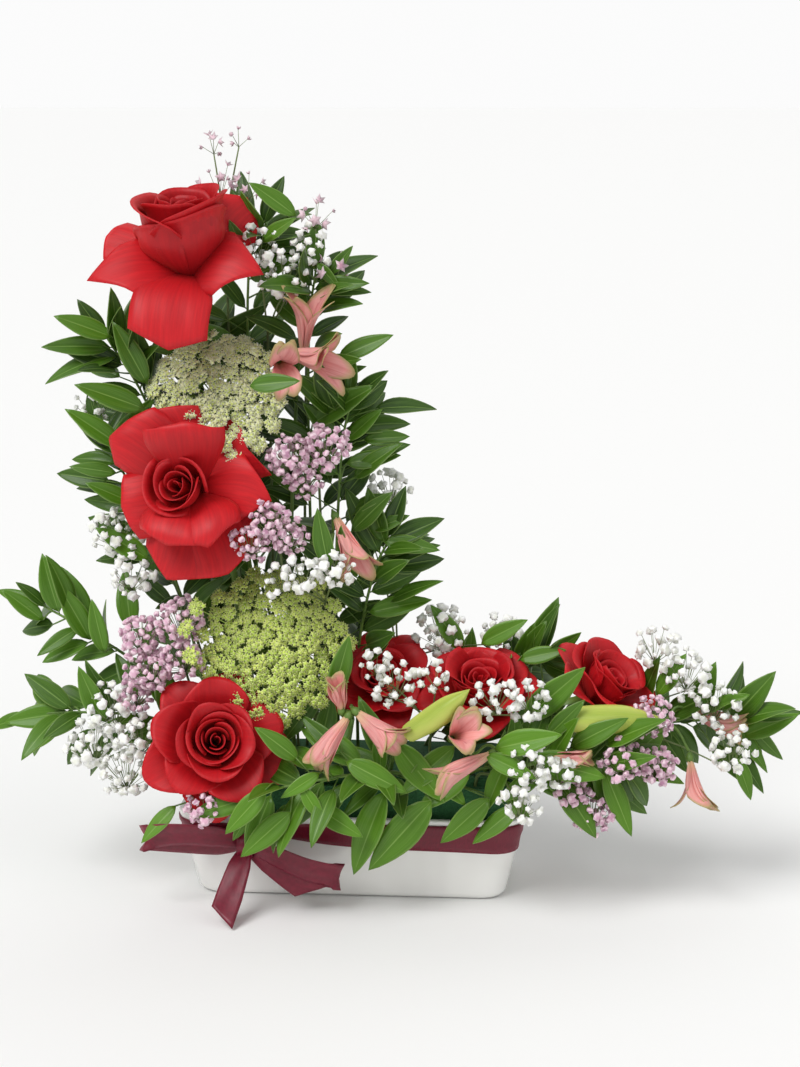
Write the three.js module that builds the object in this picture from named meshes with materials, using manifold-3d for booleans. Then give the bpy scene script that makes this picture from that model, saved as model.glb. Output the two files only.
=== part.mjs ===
// A one-sided, L-shaped table arrangement: six red roses with umbels, lily buds and fillers,
// all standing in a block of wet floral foam that fills a white ceramic trough tied with ribbon.
// Millimetres, +Z up. The origin is the middle of the trough's flat underside; -Y is the side
// that faces the viewer, the tall column stands at -X and the low arm reaches out to +X.
import * as THREE from "three";
import { mergeVertices } from "three/addons/utils/BufferGeometryUtils.js";
import Module from "manifold-3d";

const wasm = await Module();
wasm.setup();

// ---- Driving dimensions --------------------------------------------------------------------

const TROUGH = { baseLength: 222, baseWidth: 84, topLength: 250, topWidth: 108, height: 64 };
const TROUGH_WALL = 5;
const TROUGH_FLOOR = 6;
const TROUGH_CORNER = 20;
const FOAM = { clearance: 1.2, top: 92, chamfer: 6 };
const RIBBON = { width: 20, thickness: 0.8, bottom: 40, top: 60 };
const BOW = { knotR: 6, knotLength: 8, loop: 74 };
const TAIL_LONG = { length: 62, cut: -22 }; // cut is how far the end is out of square, degrees
const TAIL_SHORT = { length: 54, cut: 30 };
const GAP = 0.35; // air left between neighbours that touch
const FLATNESS = 0.01; // facets closer than this to one plane become one
const STEM_DEPTH = 34; // how deep a stem is pushed into the foam
const ROSE_STEM_R = 3;
const FILLER_STEM_R = 1.3;
const TWIG_R = 0.9;
const LEAF = { thickness: 1.6, lean: 50 };

// ---- Small helpers -------------------------------------------------------------------------

const vec = (p) => new THREE.Vector3(p[0], p[1], p[2]);
const deg = THREE.MathUtils.degToRad;
// A repeatable wobble from -1 to 1, so that growth looks uneven but never changes.
function wobble(i, k) {
  const s = Math.sin(i * 12.9898 + k * 78.233) * 43758.5453;
  return 2 * (s - Math.floor(s)) - 1;
}

// The turn that takes local +Z to a direction.
function facing(direction) {
  return new THREE.Quaternion().setFromUnitVectors(
    new THREE.Vector3(0, 0, 1),
    vec(direction).normalize(),
  );
}

// A closed three.js geometry as a solid, placed by a matrix.
function solid(geometry, matrix = new THREE.Matrix4()) {
  const bare = (geometry.index ? geometry.toNonIndexed() : geometry.clone()).applyMatrix4(matrix);
  bare.deleteAttribute("normal");
  bare.deleteAttribute("uv");
  const merged = mergeVertices(bare, 1e-3);
  return new wasm.Manifold(
    new wasm.Mesh({
      numProp: 3,
      vertProperties: merged.attributes.position.array,
      triVerts: new Uint32Array(merged.index.array),
    }),
  );
}

function geometryOf(manifold) {
  const mesh = manifold.getMesh();
  const positions = new Float32Array(mesh.numVert * 3);
  for (let i = 0; i < mesh.numVert; i++) {
    positions.set(mesh.vertProperties.subarray(i * mesh.numProp, i * mesh.numProp + 3), i * 3);
  }
  const geometry = new THREE.BufferGeometry();
  geometry.setAttribute("position", new THREE.BufferAttribute(positions, 3));
  geometry.setIndex(new THREE.BufferAttribute(mesh.triVerts, 1));
  geometry.computeVertexNormals();
  return geometry;
}

const joined = (solids) => wasm.Manifold.union(solids);

// Of what a cut leaves, the piece that holds most of the material.
function largestPiece(manifold) {
  return manifold.decompose().reduce((a, b) => (b.volume() > a.volume() ? b : a));
}

// ---- Materials -----------------------------------------------------------------------------

const paint = (color, roughness) =>
  new THREE.MeshStandardMaterial({ color, roughness, metalness: 0 });
const MATERIAL = {
  ceramic: paint(0xf1f0ec, 0.22),
  foam: paint(0x2f6b3a, 0.95),
  ribbon: paint(0x6b1a33, 0.38),
  rose: paint(0xc1121f, 0.55),
  lace: paint(0xc3d57a, 0.8),
  lily: paint(0xb6c94f, 0.5),
  alstroemeria: paint(0xd98a8f, 0.55),
  statice: paint(0xc9a0c4, 0.8),
  gypsophila: paint(0xf6f5ee, 0.8),
  waxflower: paint(0xedc9cf, 0.6),
  stem: paint(0x4f7a35, 0.6),
  leaf: paint(0x2f6224, 0.45),
};

// ---- The assembly, piece by piece ----------------------------------------------------------

const pieces = [];

// Notes a piece. Its wire is the stem and twigs that must stay whole, its heads are the rest;
// each is a function of grow that gives solids in the piece's own frame, larger all round by grow.
function place(name, material, { wire, heads }, position = [0, 0, 0], turn = new THREE.Quaternion()) {
  const frame = new THREE.Matrix4().compose(vec(position), turn, new THREE.Vector3(1, 1, 1));
  const inWorld = (shape, grow) => shape && joined(shape(grow)).transform(frame.elements);
  pieces.push({
    name, material, position, turn, frame,
    wire: inWorld(wire, 0), wireKeepOut: inWorld(wire, GAP),
    heads: inWorld(heads, 0), headsKeepOut: inWorld(heads, GAP),
  });
}

function boxesMeet(a, b) {
  return [0, 1, 2].every((k) => a.min[k] <= b.max[k] && b.min[k] <= a.max[k]);
}

function without(made, keepOuts) {
  const box = made.boundingBox();
  const near = keepOuts.filter((other) => boxesMeet(box, other.boundingBox()));
  return near.length ? made.subtract(joined(near)) : made;
}

// Stems are settled first, so that none is cut through; then each piece's heads, in the order
// the pieces were placed, give way to every other stem and to the heads already settled.
function assembled() {
  const arrangement = new THREE.Group();
  const wired = pieces.filter((piece) => piece.wire);
  wired.forEach((piece, i) => {
    piece.wire = without(piece.wire, wired.slice(0, i).map((other) => other.wireKeepOut));
  });
  const settled = [];
  for (const piece of pieces) {
    let body = piece.wire;
    if (piece.heads) {
      const stems = wired.filter((other) => other !== piece).map((other) => other.wireKeepOut);
      const heads = without(piece.heads, [...stems, ...settled]);
      settled.push(piece.headsKeepOut.add(heads));
      body = body ? body.add(heads) : heads;
    }
    const back = piece.frame.clone().invert();
    const local = largestPiece(body).simplify(FLATNESS).transform(back.elements);
    const mesh = new THREE.Mesh(geometryOf(local), piece.material);
    mesh.name = piece.name;
    mesh.position.copy(vec(piece.position));
    mesh.quaternion.copy(piece.turn);
    arrangement.add(mesh);
  }
  return arrangement;
}

// ---- Trough: one slip-cast piece, wider at the rim than at the foot ------------------------

function roundedRectangle(length, width, corner) {
  const x = length / 2 - corner;
  const y = width / 2 - corner;
  const outline = new THREE.Shape();
  outline.absarc(x, y, corner, 0, Math.PI / 2);
  outline.absarc(-x, y, corner, Math.PI / 2, Math.PI);
  outline.absarc(-x, -y, corner, Math.PI, 1.5 * Math.PI);
  outline.absarc(x, -y, corner, 1.5 * Math.PI, 2 * Math.PI);
  return outline;
}

// The trough's flaring outline as a solid from z0 to z1, offset outward by that much. Above the
// rim the outline goes straight up.
function flared(z0, z1, offset) {
  const geometry = new THREE.ExtrudeGeometry(
    roundedRectangle(TROUGH.topLength, TROUGH.topWidth, TROUGH_CORNER),
    { depth: z1 - z0, steps: 1, bevelEnabled: false, curveSegments: 4 },
  );
  geometry.translate(0, 0, z0);
  const p = geometry.attributes.position;
  for (let i = 0; i < p.count; i++) {
    const up = Math.min(1, p.getZ(i) / TROUGH.height);
    const length = THREE.MathUtils.lerp(TROUGH.baseLength, TROUGH.topLength, up) + 2 * offset;
    const width = THREE.MathUtils.lerp(TROUGH.baseWidth, TROUGH.topWidth, up) + 2 * offset;
    p.setX(i, (p.getX(i) * length) / TROUGH.topLength);
    p.setY(i, (p.getY(i) * width) / TROUGH.topWidth);
  }
  return solid(geometry);
}

function trough(grow) {
  const outside = flared(0, TROUGH.height + grow, grow);
  const inside = flared(TROUGH_FLOOR - grow, TROUGH.height + 10, -TROUGH_WALL - grow);
  return [outside.subtract(inside)];
}
place("trough", MATERIAL.ceramic, { heads: trough });

// ---- Ribbon: a satin band round the rim, a bow and two tails -------------------------------

function band(grow) {
  const outer = flared(RIBBON.bottom - grow, RIBBON.top + grow, GAP + RIBBON.thickness + grow);
  const inner = flared(RIBBON.bottom - 1, RIBBON.top + 1, GAP - grow);
  return [outer.subtract(inner)];
}
place("ribbon_band", MATERIAL.ribbon, { heads: band });

const KNOT = [-72, -66, 47];

// The knot is a short, pinched roll of ribbon that stands in front of the band.
function knot(grow) {
  return [solid(new THREE.CapsuleGeometry(BOW.knotR + grow, BOW.knotLength, 3, 10))];
}
const KNOT_TURN = new THREE.Quaternion().setFromEuler(new THREE.Euler(deg(90), deg(20), 0));
place("bow_knot", MATERIAL.ribbon, { heads: knot }, KNOT, KNOT_TURN);

// A prism: an outline in the local XY plane, extruded along Z with its middle on the plane.
function prism(outline, depth) {
  const geometry = new THREE.ExtrudeGeometry(outline, { depth, bevelEnabled: false });
  geometry.translate(0, 0, -depth / 2);
  return solid(geometry);
}

// The points of a line moved sideways in its own plane by that much.
function beside(line, count, offset) {
  return Array.from({ length: count + 1 }, (_, i) => {
    const p = line.getPoint(i / count);
    const t = line.getTangent(i / count);
    return new THREE.Vector2(p.x + t.y * offset, p.y - t.x * offset);
  });
}

const flatLine = (points, closed) =>
  new THREE.CatmullRomCurve3(points.map(([x, y]) => new THREE.Vector3(x, y, 0)), closed);

// A block that trims a tail at that length on the slant, in the tail's own frame.
const CUTTER = 80;
function slantCut(length, angle) {
  const geometry = new THREE.BoxGeometry(CUTTER, CUTTER, CUTTER);
  geometry.translate(CUTTER / 2, 0, 0);
  geometry.rotateY(angle);
  geometry.translate(length, 0, 0);
  return solid(geometry);
}

const LOOP_LINE = [[2, 0], [24, 10], [52, 12], [BOW.loop, 2], [54, -8], [26, -6]];
function loop(grow) {
  const half = RIBBON.thickness / 2 + grow;
  const line = flatLine(LOOP_LINE, true);
  const ring = (offset) => new THREE.Shape(beside(line, 18, offset).slice(0, -1));
  const hollow = prism(ring(half), RIBBON.width + 4 * grow + 2);
  return [prism(ring(-half), RIBBON.width + 2 * grow).subtract(hollow)];
}
// A ribbon's turn: local X runs away from the knot and local Z across the ribbon's width.
function ribbonTurn(along, across) {
  const x = vec(along).normalize();
  const y = new THREE.Vector3().crossVectors(vec(across), x).normalize();
  const z = new THREE.Vector3().crossVectors(x, y);
  return new THREE.Quaternion().setFromRotationMatrix(new THREE.Matrix4().makeBasis(x, y, z));
}
const loopLeftTurn = ribbonTurn([-1, -0.1, 0.04], [0, -0.4, 1]);
const loopRightTurn = ribbonTurn([1, -0.12, -0.32], [0.3, -0.4, 1]);
place("bow_loop_left", MATERIAL.ribbon, { heads: loop }, KNOT, loopLeftTurn);
place("bow_loop_right", MATERIAL.ribbon, { heads: loop }, KNOT, loopRightTurn);

const TAIL_LINE = [[5, 0], [20, 2.5], [38, 3], [58, 0], [76, -2]];
function tail({ length, cut }) {
  const line = flatLine(TAIL_LINE, false);
  return (grow) => {
    const half = RIBBON.thickness / 2 + grow;
    const outline = [...beside(line, 8, -half), ...beside(line, 8, half).reverse()];
    const whole = prism(new THREE.Shape(outline), RIBBON.width + 2 * grow);
    return [whole.subtract(slantCut(length + grow, deg(cut)))];
  };
}
const tailLongTurn = ribbonTurn([-0.2, -0.66, -0.7], [1, 0, -0.2]);
const tailShortTurn = ribbonTurn([0.8, -0.26, -0.5], [0.5, 0, 0.9]);
place("ribbon_tail_long", MATERIAL.ribbon, { heads: tail(TAIL_LONG) }, KNOT, tailLongTurn);
place("ribbon_tail_short", MATERIAL.ribbon, { heads: tail(TAIL_SHORT) }, KNOT, tailShortTurn);

// ---- Stems and the shapes they carry -------------------------------------------------------

function tube(points, radius, steps, sides = 5) {
  const section = new THREE.Shape();
  for (let i = 0; i < sides; i++) {
    const a = (i / sides) * 2 * Math.PI;
    const [x, y] = [radius * Math.cos(a), radius * Math.sin(a)];
    if (i === 0) section.moveTo(x, y);
    else section.lineTo(x, y);
  }
  const extrudePath =
    points.length === 2
      ? new THREE.LineCurve3(vec(points[0]), vec(points[1]))
      : new THREE.CatmullRomCurve3(points.map(vec), false, "centripetal");
  return solid(new THREE.ExtrudeGeometry(section, { steps, extrudePath, bevelEnabled: false }));
}

// A profile of [radius, height] points moved outward, square to its own line, by grow.
function grown(profile, grow) {
  return profile.map(([r, h], i) => {
    const before = profile[Math.max(0, i - 1)];
    const after = profile[Math.min(profile.length - 1, i + 1)];
    const [dr, dh] = [after[0] - before[0], after[1] - before[1]];
    const k = grow / Math.hypot(dr, dh);
    return r === 0 ? [0, h + (i === 0 ? -grow : grow)] : [r + dh * k, h - dr * k];
  });
}

// A turned shape about local +Z. Its profile runs from the foot, on the axis, round the outside
// and back to the axis at the top.
function turned(profile, segments, grow = 0, stretch = [1, 1]) {
  const points = grown(profile, grow).map(([r, h]) => new THREE.Vector2(r, h));
  const geometry = new THREE.LatheGeometry(points, segments);
  geometry.rotateX(Math.PI / 2);
  geometry.scale(stretch[0], stretch[1], 1);
  return solid(geometry);
}

// Where a local shape goes: its foot at a point, its +Z along a direction.
function placed(made, at, direction) {
  const frame = new THREE.Matrix4().compose(vec(at), facing(direction), new THREE.Vector3(1, 1, 1));
  return made.transform(frame.elements);
}

// ---- Roses: a stem with its swollen receptacle, and the bloom that opens from it ------------

// at is the foot of the petals, face the way the flower looks, r the reach of the outer petals,
// bud the height of the heart, droop how far the outer petals fold back below the foot, and
// route the stem's way down to where it enters the foam.
const ROSES = [
  { name: "rose_top", at: [-110, -12, 440], face: [-0.22, -0.42, 0.88], r: 58, bud: 62, droop: 30,
    route: [[-104, 12, 390], [-92, 24, 250], [-78, 22, 130], [-72, 18, 92]] },
  { name: "rose_middle", at: [-107, -42, 297], face: [-0.26, -0.9, 0.36], r: 56, bud: 44, droop: 10,
    route: [[-92, -12, 268], [-84, 2, 200], [-88, -2, 130], [-90, -4, 92]] },
  { name: "rose_lower", at: [-94, -58, 120], face: [0.2, -0.89, 0.4], r: 50, bud: 46, droop: 8,
    route: [[-94, -40, 112], [-88, -30, 100], [-80, -24, 92]] },
  { name: "rose_inner", at: [21, 0, 146], face: [-0.1, -0.7, 0.7], r: 36, bud: 34, droop: 2,
    route: [[18, 12, 124], [18, 12, 108], [16, 10, 92]] },
  { name: "rose_arm", at: [90, -16, 140], face: [0.04, -0.42, 0.9], r: 46, bud: 40, droop: -4,
    route: [[90, -4, 120], [86, 2, 106], [82, 4, 92]] },
  { name: "rose_end", at: [172, -14, 144], face: [0.58, -0.3, 0.76], r: 44, bud: 50, droop: 4,
    route: [[156, -4, 122], [136, 2, 108], [112, 8, 92]] },
];
const HIP = { r: 5.5, length: 13 };

// The stem's last stretch runs straight down into the foam.
function intoFoam(route, depth = STEM_DEPTH) {
  const [x, y, z] = route[route.length - 1];
  return [...route, [x, y, z - depth]];
}

function roseBloom({ r, bud, droop }) {
  const profile = [
    [0, 0], [7, 0.5], [0.55 * r, 5 - 0.3 * droop], [r, -droop], [r * 1.02, -droop + 5],
    [0.6 * r, 13], [0.46 * r, 0.45 * bud], [0.52 * r, 0.9 * bud], [0.34 * r, bud], [0, 0.9 * bud],
  ];
  return (grow) => [turned(profile, 12, grow)];
}

function roseStem({ at, face, route }) {
  const foot = vec(at).addScaledVector(vec(face).normalize(), -HIP.length).toArray();
  const hip = [
    [0, -2], [HIP.r * 0.7, 0], [HIP.r, HIP.length * 0.6], [HIP.r * 0.8, HIP.length - 0.4],
    [0, HIP.length - 0.4],
  ];
  return (grow) => [
    tube(intoFoam([foot, ...route]), ROSE_STEM_R + grow, 7),
    placed(turned(hip, 7, grow), foot, face),
  ];
}
for (const rose of ROSES) {
  place(`${rose.name}_stem`, MATERIAL.stem, { wire: roseStem(rose) });
  place(`${rose.name}_bloom`, MATERIAL.rose, { heads: roseBloom(rose) }, rose.at, facing(rose.face));
}

// ---- Sprays: a stem from the foam to a fork, and a twig from there to each head --------------

// A straight twig between two places; when it is grown, its far end reaches further too.
function twig(from, to, radius, grow) {
  const end = vec(to).addScaledVector(vec(to).sub(vec(from)).normalize(), grow);
  return tube([from, end.toArray()], radius + grow, 1, 4);
}

// heads are [place, direction, size]; route goes from the fork down to the foam.
function spray(route, heads, head, [stemR, twigR]) {
  return {
    wire: (grow) => [
      tube(intoFoam(route), stemR + grow, 1 + route.length),
      ...heads.map(([at]) => twig(route[0], at, twigR, grow)),
    ],
    heads: (grow) =>
      heads.map(([at, direction, size]) => placed(head(size, grow), at, direction)),
  };
}

// Queen Anne's lace: a shallow dome of many small umbels on rays from one point.
function laceHead(size, grow) {
  return turned(
    [[0, -4], [0.25 * size, 0], [0.7 * size, 0.18 * size], [size, 0.34 * size],
      [0.93 * size, 0.56 * size], [0.6 * size, 0.72 * size], [0, 0.8 * size]],
    12,
    grow,
  );
}
const LACE = [
  { name: "lace_upper", route: [[-88, -2, 352], [-80, 8, 260], [-66, 8, 150], [-58, 6, 92]],
    heads: [[[-96, -24, 362], [-0.1, -0.86, 0.5], 47]] },
  { name: "lace_lower", route: [[-52, -26, 180], [-54, -20, 130], [-56, -18, 92]],
    heads: [[[-53, -44, 186], [0.05, -0.95, 0.3], 54]] },
];
for (const { name, route, heads } of LACE) {
  place(name, MATERIAL.lace, spray(route, heads, laceHead, [2.2, 2]));
}

// Lily buds: a long three-sided spindle, blunt at the stalk and pointed at the tip.
function lilyHead(size, grow) {
  return turned(
    [[0, 0], [0.09 * size, 1], [0.2 * size, 0.3 * size], [0.22 * size, 0.55 * size],
      [0.13 * size, 0.85 * size], [0, size]],
    9,
    grow,
  );
}
const LILIES = [
  { name: "lily_bud_left", route: [[34, -58, 118], [30, -42, 104], [28, -34, 92]],
    heads: [[[42, -84, 136], [0.76, -0.12, 0.62], 58]] },
  { name: "lily_bud_right", route: [[120, -40, 118], [104, -30, 104], [96, -24, 92]],
    heads: [[[150, -62, 143], [1, 0.02, 0.04], 68]] },
];
for (const { name, route, heads } of LILIES) {
  place(name, MATERIAL.lily, spray(route, heads, lilyHead, [2, 1.8]));
}

// Alstroemeria: a trumpet of six petals.
function alstroHead(size, grow) {
  return turned(
    [[0, -3], [2, -1], [0.16 * size, 0.2 * size], [0.26 * size, 0.6 * size], [0.46 * size, size],
      [0, 0.9 * size]],
    8,
    grow,
  );
}
const ALSTROEMERIAS = [
  { name: "alstroemeria_top", route: [[-40, 6, 372], [-46, 14, 280], [-48, 14, 160], [-46, 12, 92]],
    heads: [[[-34, -10, 388], [0.12, -0.2, 0.97], 50], [[-48, -24, 384], [0.1, -0.95, -0.3], 34]] },
  { name: "alstroemeria_middle", route: [[-14, -10, 262], [-26, 0, 180], [-30, 0, 92]],
    heads: [[[-8, -30, 272], [0.5, -0.42, -0.75], 48]] },
  { name: "alstroemeria_front_left", route: [[4, -60, 140], [-2, -44, 110], [-8, -36, 92]],
    heads: [[[2, -84, 148], [-0.52, -0.3, -0.8], 46], [[10, -86, 152], [0.76, -0.3, -0.58], 44],
      [[-2, -82, 156], [-0.1, -0.35, 0.93], 26]] },
  { name: "alstroemeria_front_right", route: [[90, -66, 118], [78, -50, 104], [72, -40, 92]],
    heads: [[[80, -76, 136], [-0.15, -0.92, 0.36], 34], [[98, -84, 124], [-0.84, -0.36, -0.42], 50]] },
  { name: "alstroemeria_bud", route: [[132, -58, 110], [116, -44, 100], [104, -40, 92]],
    heads: [[[144, -72, 119], [1, -0.12, 0.02], 26]] },
  { name: "alstroemeria_end", route: [[224, -14, 128], [180, -4, 118], [140, 0, 106], [114, -6, 92]],
    heads: [[[240, -42, 108], [0.1, -0.42, -0.9], 38], [[244, -12, 136], [0.92, -0.2, -0.32], 42]] },
];
for (const { name, route, heads } of ALSTROEMERIAS) {
  place(name, MATERIAL.alstroemeria, spray(route, heads, alstroHead, [1.8, 1.4]));
}

// Fillers: statice, baby's breath and wax flower, each a loose lump of tiny flowers on a twig.
function lump(size, grow) {
  return solid(new THREE.IcosahedronGeometry(size + grow, 0));
}
const UP = [0, -0.3, 1];
const lumps = (list) => list.map(([at, size]) => [at, UP, size]);
const STATICE = [
  { name: "statice_upper", route: [[-24, -8, 300], [-22, 4, 200], [-22, 6, 92]],
    heads: lumps([[[-40, -42, 322], 14], [[-16, -38, 328], 14], [[-30, -38, 306], 11]]) },
  { name: "statice_middle", route: [[-50, -30, 258], [-44, -14, 180], [-40, -10, 92]],
    heads: lumps([[[-52, -62, 280], 13], [[-66, -62, 266], 12], [[-40, -58, 268], 11]]) },
  { name: "statice_left", route: [[-120, -20, 160], [-110, -14, 120], [-102, -12, 92]],
    heads: lumps([[[-148, -42, 192], 15], [[-120, -44, 206], 15], [[-140, -52, 170], 15],
      [[-116, -50, 180], 13], [[-152, -46, 150], 10]]) },
  { name: "statice_arm", route: [[168, -36, 112], [136, -28, 104], [108, -18, 92]],
    heads: lumps([[[212, -52, 143], 14], [[192, -68, 116], 14], [[216, -64, 112], 11]]) },
  { name: "statice_low", route: [[150, -30, 88], [134, -26, 92], [112, -30, 92]],
    heads: lumps([[[172, -58, 75], 14], [[158, -66, 92], 10]]) },
  { name: "statice_rim_left", route: [[-84, -50, 98], [-78, -44, 96], [-72, -38, 92]],
    heads: lumps([[[-98, -90, 84], 10]]) },
];
for (const { name, route, heads } of STATICE) {
  place(name, MATERIAL.statice, spray(route, heads, lump, [FILLER_STEM_R, TWIG_R]));
}

const GYPSOPHILA = [
  { name: "gypsophila_left", route: [[-130, -24, 110], [-116, -20, 104], [-106, -22, 92]],
    heads: lumps([[[-168, -46, 140], 18], [[-184, -44, 112], 18], [[-160, -52, 96], 18],
      [[-148, -56, 122], 16]]) },
  { name: "gypsophila_centre", route: [[-18, -30, 216], [-20, -16, 150], [-20, -12, 92]],
    heads: lumps([[[-30, -66, 244], 13], [[-8, -62, 246], 13], [[-46, -64, 240], 10]]) },
  { name: "gypsophila_front", route: [[58, -34, 128], [56, -26, 108], [58, -20, 92]],
    heads: lumps([[[34, -62, 166], 14], [[20, -60, 180], 10], [[62, -66, 172], 10],
      [[104, -76, 162], 14], [[128, -70, 158], 13]]) },
  { name: "gypsophila_rim", route: [[108, -58, 100], [100, -50, 98], [90, -42, 92]],
    heads: lumps([[[128, -94, 118], 14], [[122, -96, 92], 13], [[148, -84, 112], 11]]) },
  { name: "gypsophila_arm", route: [[190, 4, 118], [150, 8, 110], [116, 20, 92]],
    heads: lumps([[[216, -12, 182], 14], [[238, -20, 166], 16], [[258, -28, 146], 15],
      [[268, -44, 116], 16]]) },
  { name: "gypsophila_top", route: [[-62, 14, 400], [-62, 26, 260], [-62, 24, 92]],
    heads: lumps([[[-66, -2, 462], 14], [[-48, -6, 444], 16], [[-30, 0, 462], 13]]) },
  { name: "gypsophila_far_left", route: [[-140, 8, 240], [-114, 20, 160], [-100, 22, 92]],
    heads: lumps([[[-166, -16, 262], 18], [[-158, -26, 232], 14], [[-186, 2, 348], 12],
      [[-158, 0, 316], 10]]) },
  { name: "gypsophila_back", route: [[30, 20, 160], [32, 22, 130], [34, 22, 92]],
    heads: lumps([[[62, 12, 186], 17], [[104, 20, 184], 12], [[26, 10, 290], 14], [[16, 8, 262], 10]]) },
];
for (const { name, route, heads } of GYPSOPHILA) {
  place(name, MATERIAL.gypsophila, spray(route, heads, lump, [FILLER_STEM_R, TWIG_R]));
}

const WAXFLOWER = [
  { name: "waxflower_top", route: [[-92, 18, 470], [-90, 34, 300], [-84, 36, 92]],
    heads: lumps([[[-98, 10, 534], 10], [[-80, 8, 538], 9], [[-94, 8, 506], 12], [[-74, 6, 504], 10]]) },
  { name: "waxflower_side", route: [[-34, 18, 422], [-38, 26, 280], [-38, 26, 92]],
    heads: lumps([[[-26, -2, 486], 12], [[-12, -2, 448], 11], [[-40, 8, 426], 9]]) },
];
for (const { name, route, heads } of WAXFLOWER) {
  place(name, MATERIAL.waxflower, spray(route, heads, lump, [FILLER_STEM_R, TWIG_R]));
}

// ---- Ruscus: arching stems with stiff pointed leaves in two uneven ranks -------------------

// route goes from the tip down to the foam; leaves is how many, size the leaf length, bare the
// share of the stem above the foam that is stripped, and spin turns the two ranks about the stem.
const RUSCUS = [
  { name: "ruscus_left_high", leaves: 11, size: 50, bare: 0.45, spin: 10,
    route: [[-176, 6, 398], [-150, 14, 350], [-122, 26, 260], [-96, 34, 92]] },
  { name: "ruscus_left_mid", leaves: 10, size: 48, bare: 0.3, spin: -20,
    route: [[-178, -4, 330], [-156, 2, 280], [-128, 10, 210], [-102, 6, 92]] },
  { name: "ruscus_top", leaves: 11, size: 48, bare: 0.5, spin: 25,
    route: [[-62, 12, 482], [-76, 20, 440], [-78, 36, 300], [-70, 38, 92]] },
  { name: "ruscus_right_high", leaves: 11, size: 52, bare: 0.45, spin: 0,
    route: [[-26, 0, 452], [-32, 8, 400], [-34, 22, 280], [-30, 30, 92]] },
  { name: "ruscus_right_mid", leaves: 12, size: 54, bare: 0.3, spin: 15,
    route: [[0, -6, 366], [-8, -4, 320], [-14, 8, 220], [-14, 22, 92]] },
  { name: "ruscus_right_low", leaves: 11, size: 52, bare: 0.3, spin: -10,
    route: [[26, -8, 262], [14, -4, 230], [2, 8, 170], [0, 24, 92]] },
  { name: "ruscus_back", leaves: 12, size: 54, bare: 0.2, spin: 40,
    route: [[-108, 34, 400], [-104, 44, 320], [-66, 48, 180], [-50, 38, 92]] },
  { name: "ruscus_far_left", leaves: 8, size: 48, bare: 0.35, spin: 0,
    route: [[-230, 0, 204], [-196, -4, 186], [-150, 4, 150], [-104, 0, 92]] },
  { name: "ruscus_low_left", leaves: 9, size: 50, bare: 0.3, spin: 20,
    route: [[-236, -26, 128], [-196, -28, 131], [-146, -24, 127], [-118, -31, 113], [-106, -34, 92]] },
  { name: "ruscus_arm_back", leaves: 12, size: 54, bare: 0.2, spin: 30,
    route: [[140, 20, 168], [112, 28, 146], [76, 34, 120], [50, 32, 92]] },
  { name: "ruscus_arm_end", leaves: 11, size: 52, bare: 0.3, spin: -5,
    route: [[288, -6, 128], [240, 2, 124], [172, 14, 112], [112, 30, 92]] },
  { name: "ruscus_arm_front", leaves: 10, size: 54, bare: 0.15, spin: 10,
    route: [[196, -58, 106], [168, -56, 112], [130, -52, 108], [84, -34, 92]] },
  { name: "ruscus_skirt", leaves: 12, size: 54, bare: 0.05, spin: 60,
    route: [[-66, -88, 92], [-30, -84, 100], [12, -72, 104], [40, -42, 92]] },
];

// One stiff leaf: a four-sided spindle squashed flat, its foot at the origin, along +Z.
function leafBlade(length, grow) {
  return turned(
    [[0, 0], [0.15 * length, 0.3 * length], [0.155 * length, 0.55 * length], [0, length]],
    4,
    grow,
    [1, (LEAF.thickness + 2 * grow) / (0.3 * length + 2 * grow)],
  );
}

// The way leaf i points from a stem with this tangent, and the way its flat side looks.
function leafAim(tangent, i, spin) {
  const across = new THREE.Vector3().crossVectors(tangent, new THREE.Vector3(0, 1, 0)).normalize();
  const along = new THREE.Vector3().crossVectors(tangent, across);
  const angle = deg(spin + 180 * (i % 2) + 42 * wobble(i, 1));
  const lean = deg(LEAF.lean + 14 * wobble(i, 2));
  const out = across.multiplyScalar(Math.cos(angle)).addScaledVector(along, Math.sin(angle));
  const direction = tangent.clone().multiplyScalar(Math.cos(lean)).addScaledVector(out, Math.sin(lean));
  const look = new THREE.Vector3(0.5 * wobble(i, 3), -0.75, 0.6 + 0.4 * wobble(i, 4));
  return [direction, look];
}

function leafMatrix(at, direction, look) {
  const z = direction.clone().normalize();
  const x = new THREE.Vector3().crossVectors(look, z).normalize();
  const y = new THREE.Vector3().crossVectors(z, x);
  return new THREE.Matrix4().makeBasis(x, y, z).setPosition(at);
}

function ruscus({ route, leaves, size, bare, spin }) {
  const line = new THREE.CatmullRomCurve3(route.map(vec), false, "centripetal");
  const blade = (i, grow) => {
    const t = ((i + 0.1) / leaves) * (1 - bare);
    const [direction, look] = leafAim(line.getTangentAt(t).negate(), i, spin);
    const length = size * (1 + 0.15 * wobble(i, 5)) * (i === 0 ? 0.8 : 1);
    const frame = leafMatrix(line.getPointAt(t), direction, look);
    return leafBlade(length, grow).transform(frame.elements);
  };
  return {
    wire: (grow) => [tube(intoFoam(route), FILLER_STEM_R + grow, 6, 4)],
    heads: (grow) => Array.from({ length: leaves }, (_, i) => blade(i, grow)),
  };
}
for (const branch of RUSCUS) place(branch.name, MATERIAL.leaf, ruscus(branch));

// ---- Foam: a soaked block, cut to the trough's inside, that every stem is pushed into ------

function foam(grow) {
  const offset = grow - TROUGH_WALL - FOAM.clearance;
  const block = flared(TROUGH_FLOOR + GAP - grow, FOAM.top + grow, offset);
  const above = flared(FOAM.top - FOAM.chamfer, FOAM.top + 20, offset + 30);
  const top = flared(FOAM.top - FOAM.chamfer - 1, FOAM.top + 21, offset - FOAM.chamfer);
  return [block.subtract(above.subtract(top))];
}
place("floral_foam", MATERIAL.foam, { heads: foam });

export default assembled();
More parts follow.
